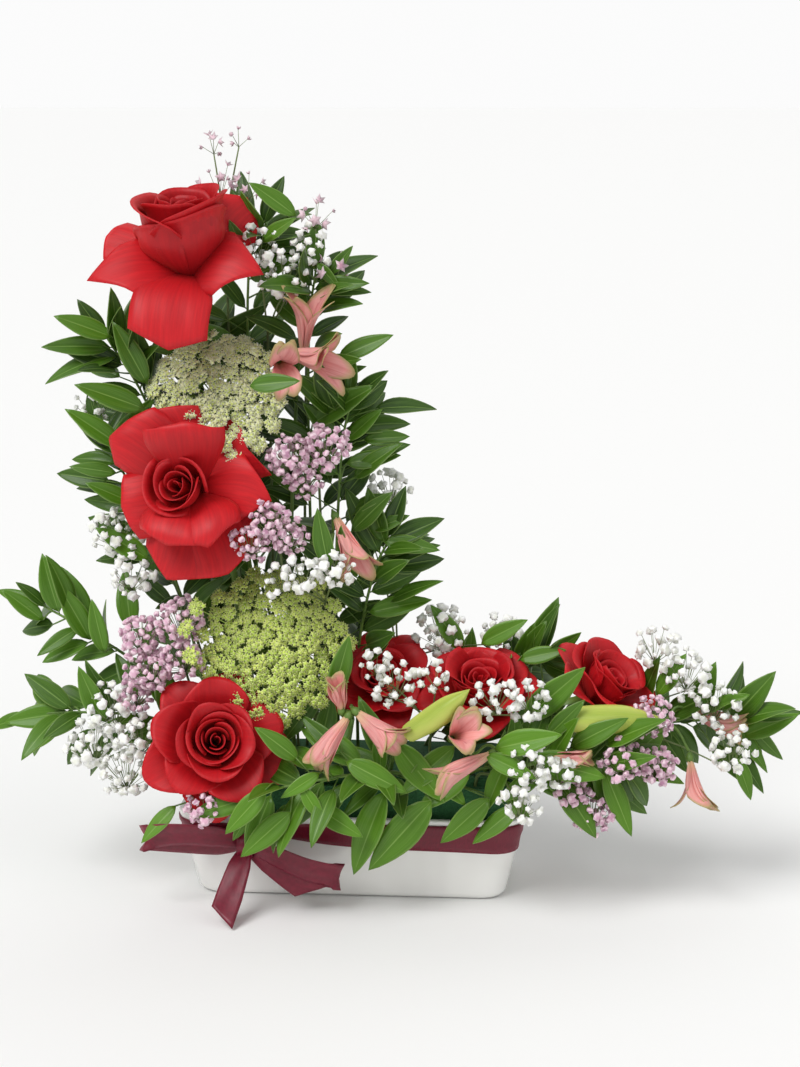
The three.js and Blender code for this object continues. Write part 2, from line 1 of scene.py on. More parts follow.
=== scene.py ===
"""A one-sided, L-shaped arrangement of fresh flowers in a white ceramic trough.

Lists of places and sizes are in millimetres in the frame's own axes; MM turns them to metres.
The trough stands on Z = 0, -Y is the side that faces the viewer, the column stands at -X.
"""
import math
import random
from collections import namedtuple

import bpy
import numpy as np
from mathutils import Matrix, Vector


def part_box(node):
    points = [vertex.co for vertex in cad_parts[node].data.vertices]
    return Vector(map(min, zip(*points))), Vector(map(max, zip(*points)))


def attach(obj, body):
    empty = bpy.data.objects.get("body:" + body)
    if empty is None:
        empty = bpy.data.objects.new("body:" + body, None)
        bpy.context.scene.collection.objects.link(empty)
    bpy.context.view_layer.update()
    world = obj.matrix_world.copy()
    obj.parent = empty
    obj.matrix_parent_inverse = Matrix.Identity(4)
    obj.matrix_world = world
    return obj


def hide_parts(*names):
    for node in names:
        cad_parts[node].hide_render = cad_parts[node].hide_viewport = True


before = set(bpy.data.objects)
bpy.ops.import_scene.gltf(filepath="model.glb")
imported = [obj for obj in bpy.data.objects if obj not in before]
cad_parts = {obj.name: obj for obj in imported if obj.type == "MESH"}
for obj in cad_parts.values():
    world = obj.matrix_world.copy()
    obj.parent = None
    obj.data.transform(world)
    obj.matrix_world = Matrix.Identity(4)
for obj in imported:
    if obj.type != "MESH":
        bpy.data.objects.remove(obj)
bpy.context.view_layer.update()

MM = 0.001

# ---- Studio: camera, floor and light --------------------------------------------------------
# A long lens looks slightly down at the front. The floor is plain white paper, lit by a broad
# soft key from above and left, with two weaker lights opposite and behind to open the shadows.

CAMERA_TARGET = (33, 0, 260)
CAMERA_DISTANCE = 1450
CAMERA_TURN = math.radians(3.8)
CAMERA_HEIGHT = math.radians(12)
CAMERA_LENS = 68.5


def around(target, distance, turn, height):
    """The place at that distance from a target, in millimetres; turn 0 is in front."""
    flat = distance * math.cos(height)
    return (
        target[0] + flat * math.sin(turn),
        target[1] - flat * math.cos(turn),
        target[2] + distance * math.sin(height),
    )


bpy.ops.object.select_all(action="DESELECT")
bpy.ops.object.camera_add(
    location=[c * MM for c in around(CAMERA_TARGET, CAMERA_DISTANCE, CAMERA_TURN, CAMERA_HEIGHT)],
    rotation=(math.pi / 2 - CAMERA_HEIGHT, 0, CAMERA_TURN),
)
camera = bpy.context.object
camera.data.lens = CAMERA_LENS
camera.data.clip_end = 200
bpy.context.scene.camera = camera
bpy.context.scene.view_settings.view_transform = "Standard"

LIGHTS = [
    # name, turn and height in degrees, spread in degrees, strength
    ("key", -38, 50, 34, 2.1),
    ("fill", 55, 35, 60, 0.35),
    ("rim", 165, 50, 50, 0.3),
]
for name, turn, height, spread, strength in LIGHTS:
    turn, height = math.radians(turn), math.radians(height)
    bpy.ops.object.light_add(type="SUN", rotation=(math.pi / 2 - height, 0, turn))
    light = bpy.context.object
    light.name = name
    light.data.angle = math.radians(spread)
    light.data.energy = strength


def linear(hex_colour):
    """An sRGB hex colour as linear RGBA."""
    parts = [int(hex_colour[i : i + 2], 16) / 255 for i in (0, 2, 4)]
    return [c / 12.92 if c <= 0.04045 else ((c + 0.055) / 1.055) ** 2.4 for c in parts] + [1]


def add_node(material, kind, links, **settings):
    """A node with its settings; links gives each input a socket to follow or a value."""
    node = material.node_tree.nodes.new(kind)
    for key, value in settings.items():
        setattr(node, key, value)
    for key, value in links.items():
        if isinstance(value, bpy.types.NodeSocket):
            material.node_tree.links.new(value, node.inputs[key])
        else:
            node.inputs[key].default_value = value
    return node


def principled(name, **values):
    """A new material and its surface shader, with plain socket values set."""
    material = bpy.data.materials.new(name)
    material.use_nodes = True
    shader = material.node_tree.nodes["Principled BSDF"]
    for key, value in values.items():
        shader.inputs[key.replace("_", " ")].default_value = value
    return material, shader


world = bpy.context.scene.world or bpy.data.worlds.new("studio")
bpy.context.scene.world = world
world.use_nodes = True
# The soft light that comes from all round is weaker than the white the lens sees behind.
SKY_LIGHT = 0.45
SKY_SEEN = 0.97
backdrop = world.node_tree.nodes["Background"]
ray = add_node(world, "ShaderNodeLightPath", {})
shine = add_node(
    world, "ShaderNodeMapRange",
    {"Value": ray.outputs["Is Camera Ray"], "To Min": SKY_LIGHT, "To Max": SKY_SEEN},
)
backdrop.inputs["Color"].default_value = linear("FFFFFF")
world.node_tree.links.new(shine.outputs["Result"], backdrop.inputs["Strength"])

bpy.ops.mesh.primitive_plane_add(size=400)
floor = bpy.context.object
floor.name = "floor"
paper, paper_shader = principled("matte_studio_paper", Roughness=0.8)
paper_shader.inputs["Base Color"].default_value = linear("F4F4F3")
floor.data.materials.append(paper)

# ---- Trough ----------------------------------------------------------------------------------
# One slip-cast bowl of white earthenware with a clear gloss glaze. It flares from foot to rim,
# and the glaze has run to a soft edge at the rim and foot.

TROUGH_FOOT = (222, 84)
TROUGH_WALL = 5
TROUGH_FLOOR = 6
TROUGH_CORNER = 20
trough_low, trough_high = [[c / MM for c in corner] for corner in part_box("trough")]
TROUGH_RIM = (trough_high[0] - trough_low[0], trough_high[1] - trough_low[1])
TROUGH_HEIGHT = trough_high[2] - trough_low[2]


def select(obj, kind, wanted):
    """In edit mode, selects only the vertices, edges or faces for which wanted is true."""
    bpy.ops.object.mode_set(mode="EDIT")
    bpy.ops.mesh.select_mode(type=kind)
    bpy.ops.mesh.select_all(action="DESELECT")
    bpy.ops.object.mode_set(mode="OBJECT")
    items = {"VERT": obj.data.vertices, "EDGE": obj.data.edges, "FACE": obj.data.polygons}[kind]
    for item in items:
        item.select = wanted(item)
    bpy.ops.object.mode_set(mode="EDIT")


def heights(obj, edge):
    """The heights of an edge's two ends, in millimetres."""
    return [obj.data.vertices[i].co.z / MM for i in edge.vertices]


def finish_piece(obj, name, material, replaces=()):
    """Names a finished piece, gives it its finish and ties it to the frame."""
    obj.name = name
    obj.data.name = name
    if material is not None:
        obj.data.materials.clear()
        obj.data.materials.append(material)
    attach(obj, "root")
    if replaces:
        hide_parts(*replaces)
    obj.select_set(False)
    return obj


def modified(obj, kind, **settings):
    """Adds a modifier to an object and applies it."""
    bpy.context.view_layer.objects.active = obj
    modifier = obj.modifiers.new(kind.lower(), kind)
    for key, value in settings.items():
        setattr(modifier, key, value)
    bpy.ops.object.modifier_apply(modifier=modifier.name)


bpy.ops.mesh.primitive_cube_add(size=1, location=(0, 0, TROUGH_HEIGHT / 2 * MM))
trough = bpy.context.object
trough.scale = (TROUGH_RIM[0] * MM, TROUGH_RIM[1] * MM, TROUGH_HEIGHT * MM)
bpy.ops.object.transform_apply(location=True, rotation=True, scale=True)
select(trough, "EDGE", lambda e: abs(heights(trough, e)[0] - heights(trough, e)[1]) > 1)
bpy.ops.mesh.bevel(offset=TROUGH_CORNER * MM, segments=10, profile=0.5)
select(trough, "VERT", lambda v: v.co.z < 1 * MM)
bpy.ops.transform.resize(
    value=(TROUGH_FOOT[0] / TROUGH_RIM[0], TROUGH_FOOT[1] / TROUGH_RIM[1], 1),
    center_override=(0, 0, 0),
)
select(trough, "FACE", lambda f: f.normal.z > 0.9)
bpy.ops.mesh.inset(thickness=TROUGH_WALL * MM)
bpy.ops.mesh.extrude_region_move(
    TRANSFORM_OT_translate={"value": (0, 0, -(TROUGH_HEIGHT - TROUGH_FLOOR) * MM)}
)
bpy.ops.transform.resize(
    value=(TROUGH_FOOT[0] / TROUGH_RIM[0], TROUGH_FOOT[1] / TROUGH_RIM[1], 1),
    center_override=(0, 0, 0),
)
select(trough, "EDGE", lambda e: max(heights(trough, e)) < 1)
bpy.ops.mesh.bevel(offset=6 * MM, segments=5, profile=0.5)
bpy.ops.object.mode_set(mode="OBJECT")
modified(trough, "BEVEL", width=1.8 * MM, segments=4, limit_method="ANGLE", angle_limit=0.9)
bpy.ops.object.shade_smooth_by_angle(angle=math.radians(45))

# Clear glaze over white slip: a hard, even gloss that pools into faint upright waves, with the
# slightly greyer body showing where the glaze is thin.
glaze, glaze_shader = principled("glazed_white_earthenware", Roughness=0.2, IOR=1.5)
glaze_shader.inputs["Coat Weight"].default_value = 0.5
glaze_shader.inputs["Coat Roughness"].default_value = 0.08
GLAZE_WAVE = 16  # upright ripples, crest to crest
place = add_node(glaze, "ShaderNodeTexCoord", {})
wave = add_node(
    glaze, "ShaderNodeTexWave",
    {"Vector": place.outputs["Object"], "Scale": 0.314 / (GLAZE_WAVE * MM), "Distortion": 1.2,
     "Detail": 1.0},
    bands_direction="X",
)
cloud = add_node(
    glaze, "ShaderNodeTexNoise",
    {"Vector": place.outputs["Object"], "Scale": 1 / (60 * MM), "Detail": 3.0},
)
tint = add_node(
    glaze, "ShaderNodeMix",
    {"Factor": cloud.outputs["Fac"], "A": linear("FAFAF8"), "B": linear("ECEBE6")},
    data_type="RGBA",
)
ripple = add_node(
    glaze, "ShaderNodeBump",
    {"Height": wave.outputs["Fac"], "Strength": 0.35, "Distance": 0.6 * MM},
)
glaze.node_tree.links.new(tint.outputs["Result"], glaze_shader.inputs["Base Color"])
glaze.node_tree.links.new(ripple.outputs["Normal"], glaze_shader.inputs["Normal"])
finish_piece(trough, "ceramic_trough", glaze, ["trough"])

# ---- Floral foam -----------------------------------------------------------------------------
# A block of wet phenolic foam, cut to the trough's inside with its edges pared off, that every
# stem is pushed into. Its skin is dull, dark green and pitted with open cells.

foam, foam_shader = principled("soaked_phenolic_foam", Roughness=0.95)
FOAM_CELL = 1.4
place = add_node(foam, "ShaderNodeTexCoord", {})
cells = add_node(
    foam, "ShaderNodeTexVoronoi",
    {"Vector": place.outputs["Object"], "Scale": 1 / (FOAM_CELL * MM)},
)
patch = add_node(
    foam, "ShaderNodeTexNoise",
    {"Vector": place.outputs["Object"], "Scale": 1 / (22 * MM), "Detail": 4.0},
)
wet = add_node(
    foam, "ShaderNodeMix",
    {"Factor": patch.outputs["Fac"], "A": linear("1E4A2A"), "B": linear("3A7445")},
    data_type="RGBA",
)
pits = add_node(
    foam, "ShaderNodeBump",
    {"Height": cells.outputs["Distance"], "Strength": 0.8, "Distance": 0.8 * MM},
)
foam.node_tree.links.new(wet.outputs["Result"], foam_shader.inputs["Base Color"])
foam.node_tree.links.new(pits.outputs["Normal"], foam_shader.inputs["Normal"])
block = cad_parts["floral_foam"]
block.data.materials.clear()
block.data.materials.append(foam)

# ---- Ribbon ----------------------------------------------------------------------------------
# One length of 20 mm burgundy polyester satin: a band pulled tight round the rim and gathered
# towards the bow, whose two loops and two slant-cut tails come out of one knot.

Shape = namedtuple("Shape", "points faces uv")  # faces have four corners; -1 marks a triangle


def taken(obj):
    """An object's mesh as a Shape, with the object itself thrown away."""
    mesh = obj.data
    points = np.array([v.co[:] for v in mesh.vertices])
    faces = np.array([list(f.vertices) + [-1] * (4 - len(f.vertices)) for f in mesh.polygons])
    bpy.data.objects.remove(obj)
    return Shape(points, faces, points[:, :2].copy())


def made_grid(across, along):
    """A flat sheet as a Shape: X runs from -1 to 1 across it and Y from 0 to 1 along it."""
    bpy.ops.mesh.primitive_grid_add(x_subdivisions=across, y_subdivisions=along, size=2)
    sheet = taken(bpy.context.object)
    points = sheet.points.copy()
    points[:, 1] = (points[:, 1] + 1) / 2
    uv = np.column_stack([(points[:, 0] + 1) / 2, points[:, 1]])
    return Shape(points, sheet.faces, uv)


def smooth_line(points, count):
    """count + 1 places spread along a smooth line through given points."""
    points = np.asarray(points, float)
    ends = [2 * points[0] - points[1], 2 * points[-1] - points[-2]]
    p = np.vstack([ends[0], points, ends[1]])
    at = np.linspace(0, len(points) - 1, count + 1)
    i = np.minimum(at.astype(int), len(points) - 2)
    t = (at - i)[:, None]
    a, b, c, d = p[i], p[i + 1], p[i + 2], p[i + 3]
    return 0.5 * (2 * b + (c - a) * t + (2 * a - 5 * b + 4 * c - d) * t**2
                  + (3 * b - a - 3 * c + d) * t**3)


def made_piece(name, shapes, tones=None):
    """One mesh object from many Shapes in millimetres. tones gives each shape a value from 0
    to 1 that its material can read."""
    counts = [len(s.points) for s in shapes]
    starts = np.cumsum([0] + counts[:-1])
    points = np.vstack([s.points for s in shapes]) * MM
    faces = np.vstack([np.where(s.faces < 0, -1, s.faces + k) for s, k in zip(shapes, starts)])
    uv = np.vstack([s.uv for s in shapes])
    mesh = bpy.data.meshes.new(name)
    mesh.from_pydata(points.tolist(), [], [f[:3] if f[3] < 0 else f for f in faces.tolist()])
    corners = np.empty(len(mesh.loops), dtype=np.int32)
    mesh.loops.foreach_get("vertex_index", corners)
    mesh.uv_layers.new(name="along").data.foreach_set("uv", uv[corners].ravel())
    tone = np.repeat(np.zeros(len(shapes)) if tones is None else tones, counts)
    mesh.attributes.new("tone", "FLOAT", "POINT").data.foreach_set("value", tone)
    mesh.polygons.foreach_set("use_smooth", np.ones(len(mesh.polygons), dtype=bool))
    obj = bpy.data.objects.new(name, mesh)
    bpy.context.collection.objects.link(obj)
    return obj


RIBBON_WIDTH = 20
RIBBON_THICKNESS = 0.35

# Polyester satin: long floats of filament yarn run along the ribbon, so it is glossy across
# them, deep wine red in the shade and pink where it turns to the light. The red is also
# painted darker and lighter in soft patches, as painted shade and light of small folds.
# Yarns are drawn 0.5 mm apart, a little coarser than they are.
satin, satin_shader = principled("woven_polyester_satin", Roughness=0.36, IOR=1.46)
satin_shader.inputs["Sheen Weight"].default_value = 0.3
satin_shader.inputs["Sheen Roughness"].default_value = 0.4
satin_shader.inputs["Sheen Tint"].default_value = linear("C8486C")
satin_shader.inputs["Anisotropic"].default_value = 0.5
YARN = 0.5
place = add_node(satin, "ShaderNodeUVMap", {}, uv_map="along")
yarns = add_node(
    satin, "ShaderNodeTexWave",
    {"Vector": place.outputs["UV"], "Scale": 0.314 * RIBBON_WIDTH / YARN, "Distortion": 0.5},
    bands_direction="X",
)
# Painted shade and light of folds: noise darkens and lightens the red in patches.
painted_fold_shade_noise = add_node(
    satin, "ShaderNodeTexNoise", {"Vector": place.outputs["UV"], "Scale": 5.0, "Detail": 2.0}
)
dye_and_painted_fold_shade = add_node(
    satin, "ShaderNodeMix",
    {"Factor": painted_fold_shade_noise.outputs["Fac"], "A": linear("540A1C"), "B": linear("841832")},
    data_type="RGBA",
)
weave = add_node(
    satin, "ShaderNodeBump",
    {"Height": yarns.outputs["Fac"], "Strength": 0.25, "Distance": 0.1 * MM},
)
satin.node_tree.links.new(dye_and_painted_fold_shade.outputs["Result"], satin_shader.inputs["Base Color"])
satin.node_tree.links.new(weave.outputs["Normal"], satin_shader.inputs["Normal"])


def ribbon_piece(name, line, across, widths, replaces, slant=0, crease=0.6):
    """A strip of ribbon. across gives the direction of its width at its two ends, widths its
    width along it, slant how far the end's cut is out of square, and crease its ripple."""
    steps = 6 * (len(line) - 1)
    centre = smooth_line(line, steps)
    t = np.linspace(0, 1, steps + 1)[:, None]
    side = np.asarray(across[0], float) * (1 - t) + np.asarray(across[1], float) * t
    along = np.gradient(centre, axis=0)
    along /= np.linalg.norm(along, axis=1)[:, None]
    side -= along * np.sum(side * along, axis=1)[:, None]
    side /= np.linalg.norm(side, axis=1)[:, None]
    normal = np.cross(along, side)
    width = np.interp(t[:, 0], np.linspace(0, 1, len(widths)), widths)
    sheet = made_grid(8, steps)
    row = np.rint(sheet.points[:, 1] * steps).astype(int)
    u = sheet.points[:, 0]
    wave = crease * np.sin(3.3 * u + 5 * t[row, 0]) * np.cos(2.1 * u)
    points = (
        centre[row]
        + side[row] * (u * width[row] / 2)[:, None]
        + normal[row] * wave[:, None]
        + along[row] * (slant * u * t[row, 0] ** 3)[:, None]
    )
    length = float(np.sum(np.linalg.norm(np.diff(centre, axis=0), axis=1)))
    uv = np.column_stack([sheet.uv[:, 0], sheet.uv[:, 1] * length / RIBBON_WIDTH])
    obj = made_piece(name, [Shape(points, sheet.faces, uv)])
    modified(obj, "SOLIDIFY", thickness=RIBBON_THICKNESS * MM, offset=0)
    finish_piece(obj, name, satin, replaces)
    return obj


def rim_line(height, offset, count):
    """Places round the trough's outline at a height, offset outward, from the bow's place."""
    up = height / TROUGH_HEIGHT
    half = [
        (TROUGH_FOOT[k] + (TROUGH_RIM[k] - TROUGH_FOOT[k]) * up) / 2 + offset for k in (0, 1)
    ]
    corner = TROUGH_CORNER + offset
    straight = [half[0] - corner, half[1] - corner]
    places = []
    for quarter, (sx, sy) in enumerate([(1, -1), (1, 1), (-1, 1), (-1, -1)]):
        for i in range(count + 1):
            a = -math.pi / 2 + (quarter + i / count) * math.pi / 2
            places.append((sx * straight[0] + corner * math.cos(a),
                           sy * straight[1] + corner * math.sin(a)))
    return places


# The band is a closed strip: its ring of places at the lower edge and at the upper edge.
BAND_TOP = 60
BAND_DEPTH = 19
GATHER_AT = -72
GATHER_REACH = 46


def band_edges(x, y):
    """The band's lower and upper height at a place on the outline."""
    gather = math.exp(-(((x - GATHER_AT) / GATHER_REACH) ** 2)) if y < 0 else 0
    sag = 3 * max(0, x / 125) if y < 0 else 0
    return BAND_TOP - BAND_DEPTH + 9 * gather - sag, BAND_TOP - 1.5 * gather


outline = rim_line(BAND_TOP, 0, 6)
front = [(x, outline[-1][1]) for x in np.linspace(outline[-1][0], outline[0][0], 26)[1:-1]]
outline = outline + front
BAND_ROWS = 5
band_points = []
for row in range(BAND_ROWS + 1):
    for x, y in outline:
        low, high = band_edges(x, y)
        z = low + (high - low) * row / BAND_ROWS
        shrink = [
            1 - (1 - TROUGH_FOOT[k] / TROUGH_RIM[k]) * (1 - z / TROUGH_HEIGHT) for k in (0, 1)
        ]
        lift = 0.9 + 0.35 * math.sin(2.2 * row + x / 17)
        reach = math.hypot(x, y)
        base = 1 - (1 - TROUGH_FOOT[0] / TROUGH_RIM[0]) * (1 - BAND_TOP / TROUGH_HEIGHT)
        px, py = x * shrink[0] / base, y * shrink[1] / base
        band_points.append((px + lift * x / reach, py + lift * y / abs(y) if y else py, z))
ring = len(outline)
band_faces = [
    (r * ring + i, r * ring + (i + 1) % ring, (r + 1) * ring + (i + 1) % ring, (r + 1) * ring + i)
    for r in range(BAND_ROWS)
    for i in range(ring)
]
band_uv = [(r / BAND_ROWS, i * 1.4) for r in range(BAND_ROWS + 1) for i in range(ring)]
band = made_piece(
    "ribbon_round_rim",
    [Shape(np.array(band_points), np.array(band_faces), np.array(band_uv))],
)
modified(band, "SOLIDIFY", thickness=RIBBON_THICKNESS * MM, offset=0)
finish_piece(band, "ribbon_round_rim", satin, ["ribbon_band"])

KNOT = (-72, -66, 48)
UPRIGHT = (0.1, -0.4, 1)
ribbon_piece(
    "bow_left_loop",
    [KNOT, (-92, -75, 56), (-122, -78, 58), (-143, -70, 52), (-124, -60, 46), (-94, -60, 44),
     (-74, -62, 46)],
    [UPRIGHT, UPRIGHT], [9, 19, 20, 20, 20, 18, 9],
    ["bow_loop_left"],
)
ribbon_piece(
    "bow_right_loop",
    [KNOT, (-52, -78, 45), (-26, -82, 36), (-5, -76, 29), (-24, -66, 28), (-50, -60, 36),
     (-70, -62, 45)],
    [(0.2, -0.4, 1), (0.3, -0.2, 1)], [9, 18, 20, 20, 19, 16, 9],
    ["bow_loop_right"],
)
ribbon_piece(
    "ribbon_long_tail",
    [(-72, -68, 45), (-75, -77, 36), (-80, -91, 20), (-84, -104, 8)],
    [(1, 0.1, 0.1), (1, -0.1, -0.28)], [9, 16, 19, 19],
    ["ribbon_tail_long"], slant=6,
)
ribbon_piece(
    "ribbon_short_tail",
    [(-71, -67, 46), (-56, -73, 38), (-40, -77, 28), (-25, -78, 18)],
    [(0.3, 0, 1), (0.5, 0, 0.9)], [9, 16, 18, 19],
    ["ribbon_tail_short"], slant=7,
)
ribbon_piece(
    "bow_knot_wrap",
    [(-72, -60, 55), (-72, -69, 56), (-72, -74, 48), (-72, -70, 40), (-72, -60, 40)],
    [(1, 0, 0.1), (1, 0, -0.1)], [12, 11, 11, 11, 12],
    ["bow_knot"], crease=0.9,
)

# ---- Roses -----------------------------------------------------------------------------------
# Six full-blown hybrid tea roses. Each is a tight spiral heart inside rings of wider petals that
# open further and roll back at the rim until the outermost fold down to points. The bloom sits
# on a swollen hip with five sepals, on a stem pushed into the foam.


def placed(shape, at=(0, 0, 0), towards=(0, 0, 1), spin=0.0, scale=1.0):
    """A Shape turned by spin about its own +Z, which is then pointed in a direction."""
    z = np.asarray(towards, float)
    z /= np.linalg.norm(z)
    x = np.cross((0, 1, 0), z) if abs(z[1]) < 0.95 else np.cross((1, 0, 0), z)
    x /= np.linalg.norm(x)
    y = np.cross(z, x)
    c, s = math.cos(spin), math.sin(spin)
    turn = np.column_stack([x * c + y * s, y * c - x * s, z])
    return shape._replace(points=shape.points * scale @ turn.T + np.asarray(at, float))


def petal(sheet, length, width, lean, cup, roll=0.0, point=0.3, foot=2.0, skew=0.0, frill=0.0,
          seed=0.0):
    """A petal that stands on +Z and leans out along +X. lean gives its angle from the axis, in
    degrees, at equal steps from foot to tip; cup its hollow's radius at foot and tip; roll how
    far its sides fold back; point how much of its length the corners lose."""
    u, v = sheet.points[:, 0], sheet.points[:, 1]
    v = v * (1 - point * np.abs(u) ** 1.7) + skew * u * v**2 * 0.12
    fine = np.linspace(0, 1.15, 70)
    angle = np.radians(np.interp(fine, np.linspace(0, 1, len(lean)), lean))
    step = length * (fine[1] - fine[0])
    out = foot + np.concatenate([[0], np.cumsum(np.sin(angle[1:]) * step)])
    up = np.concatenate([[0], np.cumsum(np.cos(angle[1:]) * step)])
    r, z, a = (np.interp(v, fine, line) for line in (out, up, angle))
    half = width / 2 * (0.26 + 0.74 * np.sin(np.minimum(1, v / 0.7) * math.pi / 2) ** 1.3)
    radius = cup[0] + (cup[1] - cup[0]) * v
    theta = np.clip(u * half / radius, -3.0, 3.0)
    inward = radius * (1 - np.cos(theta)) - roll * np.abs(u) ** 3 * v**1.5
    inward = inward + frill * np.sin(4.2 * u + seed) * v**3
    inward = inward + 0.35 * frill * np.sin(9 * u + 6 * v + 2 * seed) * v**2
    points = np.column_stack([
        r - inward * np.cos(a), radius * np.sin(theta), z + inward * np.sin(a),
    ])
    return Shape(points, sheet.faces, sheet.uv)


def wrapped(sheet, radius, height, spread, slope, flare, close, seed):
    """A heart petal rolled round +Z with its middle at +X. It covers spread degrees each way,
    its rim climbs by slope from one side to the other and turns out by flare at the top, and
    its far side lies close millimetres nearer to the axis than its near side."""
    u, v = sheet.points[:, 0], sheet.points[:, 1]
    rim = height * (1 - 0.10 * u**2 - 0.16 * np.abs(u) ** 6) + slope * u
    rim = rim + 0.018 * height * np.sin(5 * u + seed)
    belly = 0.30 + 0.70 * np.sin(np.minimum(1, v / 0.72) * math.pi / 2) ** 1.2
    r = (radius - close * u) * belly - 0.06 * radius * v**2
    r = r + flare * np.clip((v - 0.74) / 0.26, 0, 1) ** 2 * (1 - 0.3 * np.sin(3 * u + 2 * seed))
    r = r + 0.025 * radius * np.sin(4 * u + seed) * v
    a = np.radians(spread) * u
    droop = 0.45 * flare * np.clip((v - 0.82) / 0.18, 0, 1) ** 2
    points = np.column_stack([r * np.cos(a), r * np.sin(a), v * rim - droop])
    return Shape(points, sheet.faces, sheet.uv)


def draped(sheet, foot, ridge, tip, width, point=0.3, roll=6.0, skew=0.0, frill=0.8, seed=0.0,
           look=(0, -0.6, 0.8)):
    """An outer petal that leaves its foot, folds over a ridge and reaches its tip. point is how
    much of its length the corners lose, roll how far its sides curl under, skew moves the tip
    sideways, and look is the way its upper face is turned."""
    foot, ridge, tip = (np.asarray(p, float) for p in (foot, ridge, tip))
    u, v = sheet.points[:, 0], sheet.points[:, 1]
    reach = (v * (1 - point * np.abs(u) ** 1.1))[:, None]
    centre = foot * (1 - reach) ** 2 + 2 * ridge * reach * (1 - reach) + tip * reach**2
    along = 2 * (ridge - foot) * (1 - reach) + 2 * (tip - ridge) * reach
    along /= np.linalg.norm(along, axis=1)[:, None]
    side = np.cross(tip - foot, look)
    side /= np.linalg.norm(side)
    up = np.cross(side, along)
    up /= np.linalg.norm(up, axis=1)[:, None]
    half = width / 2 * (0.34 + 0.66 * np.sin(np.minimum(1, v / 0.62) * math.pi / 2) ** 1.2)
    lift = -roll * np.abs(u) ** 2.4 * (0.3 + 0.7 * v) + frill * np.sin(4 * u + seed) * v**2
    lift = lift + 0.4 * frill * np.sin(9 * u + 5 * v + 2 * seed) * v
    points = centre + side * (u * half + skew * v**2)[:, None] + up * lift[:, None]
    return Shape(points, sheet.faces, sheet.uv)


Tier = namedtuple("Tier", "count length width lean cup roll point foot start")
# Outer rings, for a bloom that reaches this far from its axis; the heart is rolled separately.
FULL_REACH = 54
OPEN_ROSE = [
    Tier(5, 46, 56, (44, 30, 22, 74), (19, 26), 6.0, 0.30, 4.0, 12),
    Tier(5, 53, 60, (62, 52, 56, 104), (26, 42), 10.0, 0.42, 4.5, 50),
    Tier(5, 59, 60, (78, 70, 78, 122), (38, 64), 12.0, 0.5, 4.5, 18),
]
HALF_OPEN_ROSE = [
    Tier(5, 45, 56, (42, 26, 14, 62), (18, 24), 4.0, 0.26, 4.0, 12),
    Tier(5, 48, 60, (56, 44, 38, 90), (24, 36), 7.0, 0.34, 4.0, 50),
    Tier(5, 50, 58, (72, 62, 66, 114), (34, 50), 9.0, 0.42, 4.5, 18),
]
# Hearts: how many rolled petals, their radius and height inside and outside, and their flare.
Heart = namedtuple("Heart", "count radius height flare")
OPEN_HEART = Heart(10, (2.6, 20), (31, 36), (0.3, 4.0))
GOBLET_HEART = Heart(9, (3.0, 24), (52, 60), (0.4, 4.0))
# The topmost bloom's three big outer wraps: azimuth, radius, height, spread, slope, flare, close
GOBLET_WRAPS = [
    (196, 28, 60, 80, -3, 7.0, -2.0),
    (322, 30, 59, 85, 2, 5.0, 1.0),
    (262, 31, 50, 92, 9, 3.5, 1.5),
]
Rose = namedtuple("Rose", "name at face reach heart tiers spin route")
ROSES = [
    Rose("rose_top", (-110, -20, 446), (-0.1, -0.26, 0.96), 54, GOBLET_HEART, [], 0,
         [(-104, 12, 390), (-92, 24, 250), (-78, 22, 130), (-72, 18, 92)]),
    Rose("rose_middle", (-109, -42, 297), (-0.24, -0.92, 0.32), 54, OPEN_HEART, [], 0.3,
         [(-92, -12, 268), (-84, 2, 200), (-88, -2, 130), (-90, -4, 92)]),
    Rose("rose_lower", (-94, -58, 119), (0.2, -0.89, 0.4), 49, OPEN_HEART, OPEN_ROSE, 1.2,
         [(-94, -40, 112), (-88, -30, 100), (-80, -24, 92)]),
    Rose("rose_inner", (22, 0, 146), (-0.1, -0.7, 0.7), 38, OPEN_HEART, OPEN_ROSE, 2.0,
         [(18, 12, 124), (18, 12, 108), (16, 10, 92)]),
    Rose("rose_arm", (90, -16, 138), (0.04, -0.42, 0.9), 48, OPEN_HEART, HALF_OPEN_ROSE, 0.8,
         [(90, -4, 120), (86, 2, 106), (82, 4, 92)]),
    Rose("rose_end", (172, -14, 144), (0.58, -0.3, 0.76), 46, OPEN_HEART, HALF_OPEN_ROSE, 0.1,
         [(156, -4, 122), (136, 2, 108), (112, 8, 92)]),
]
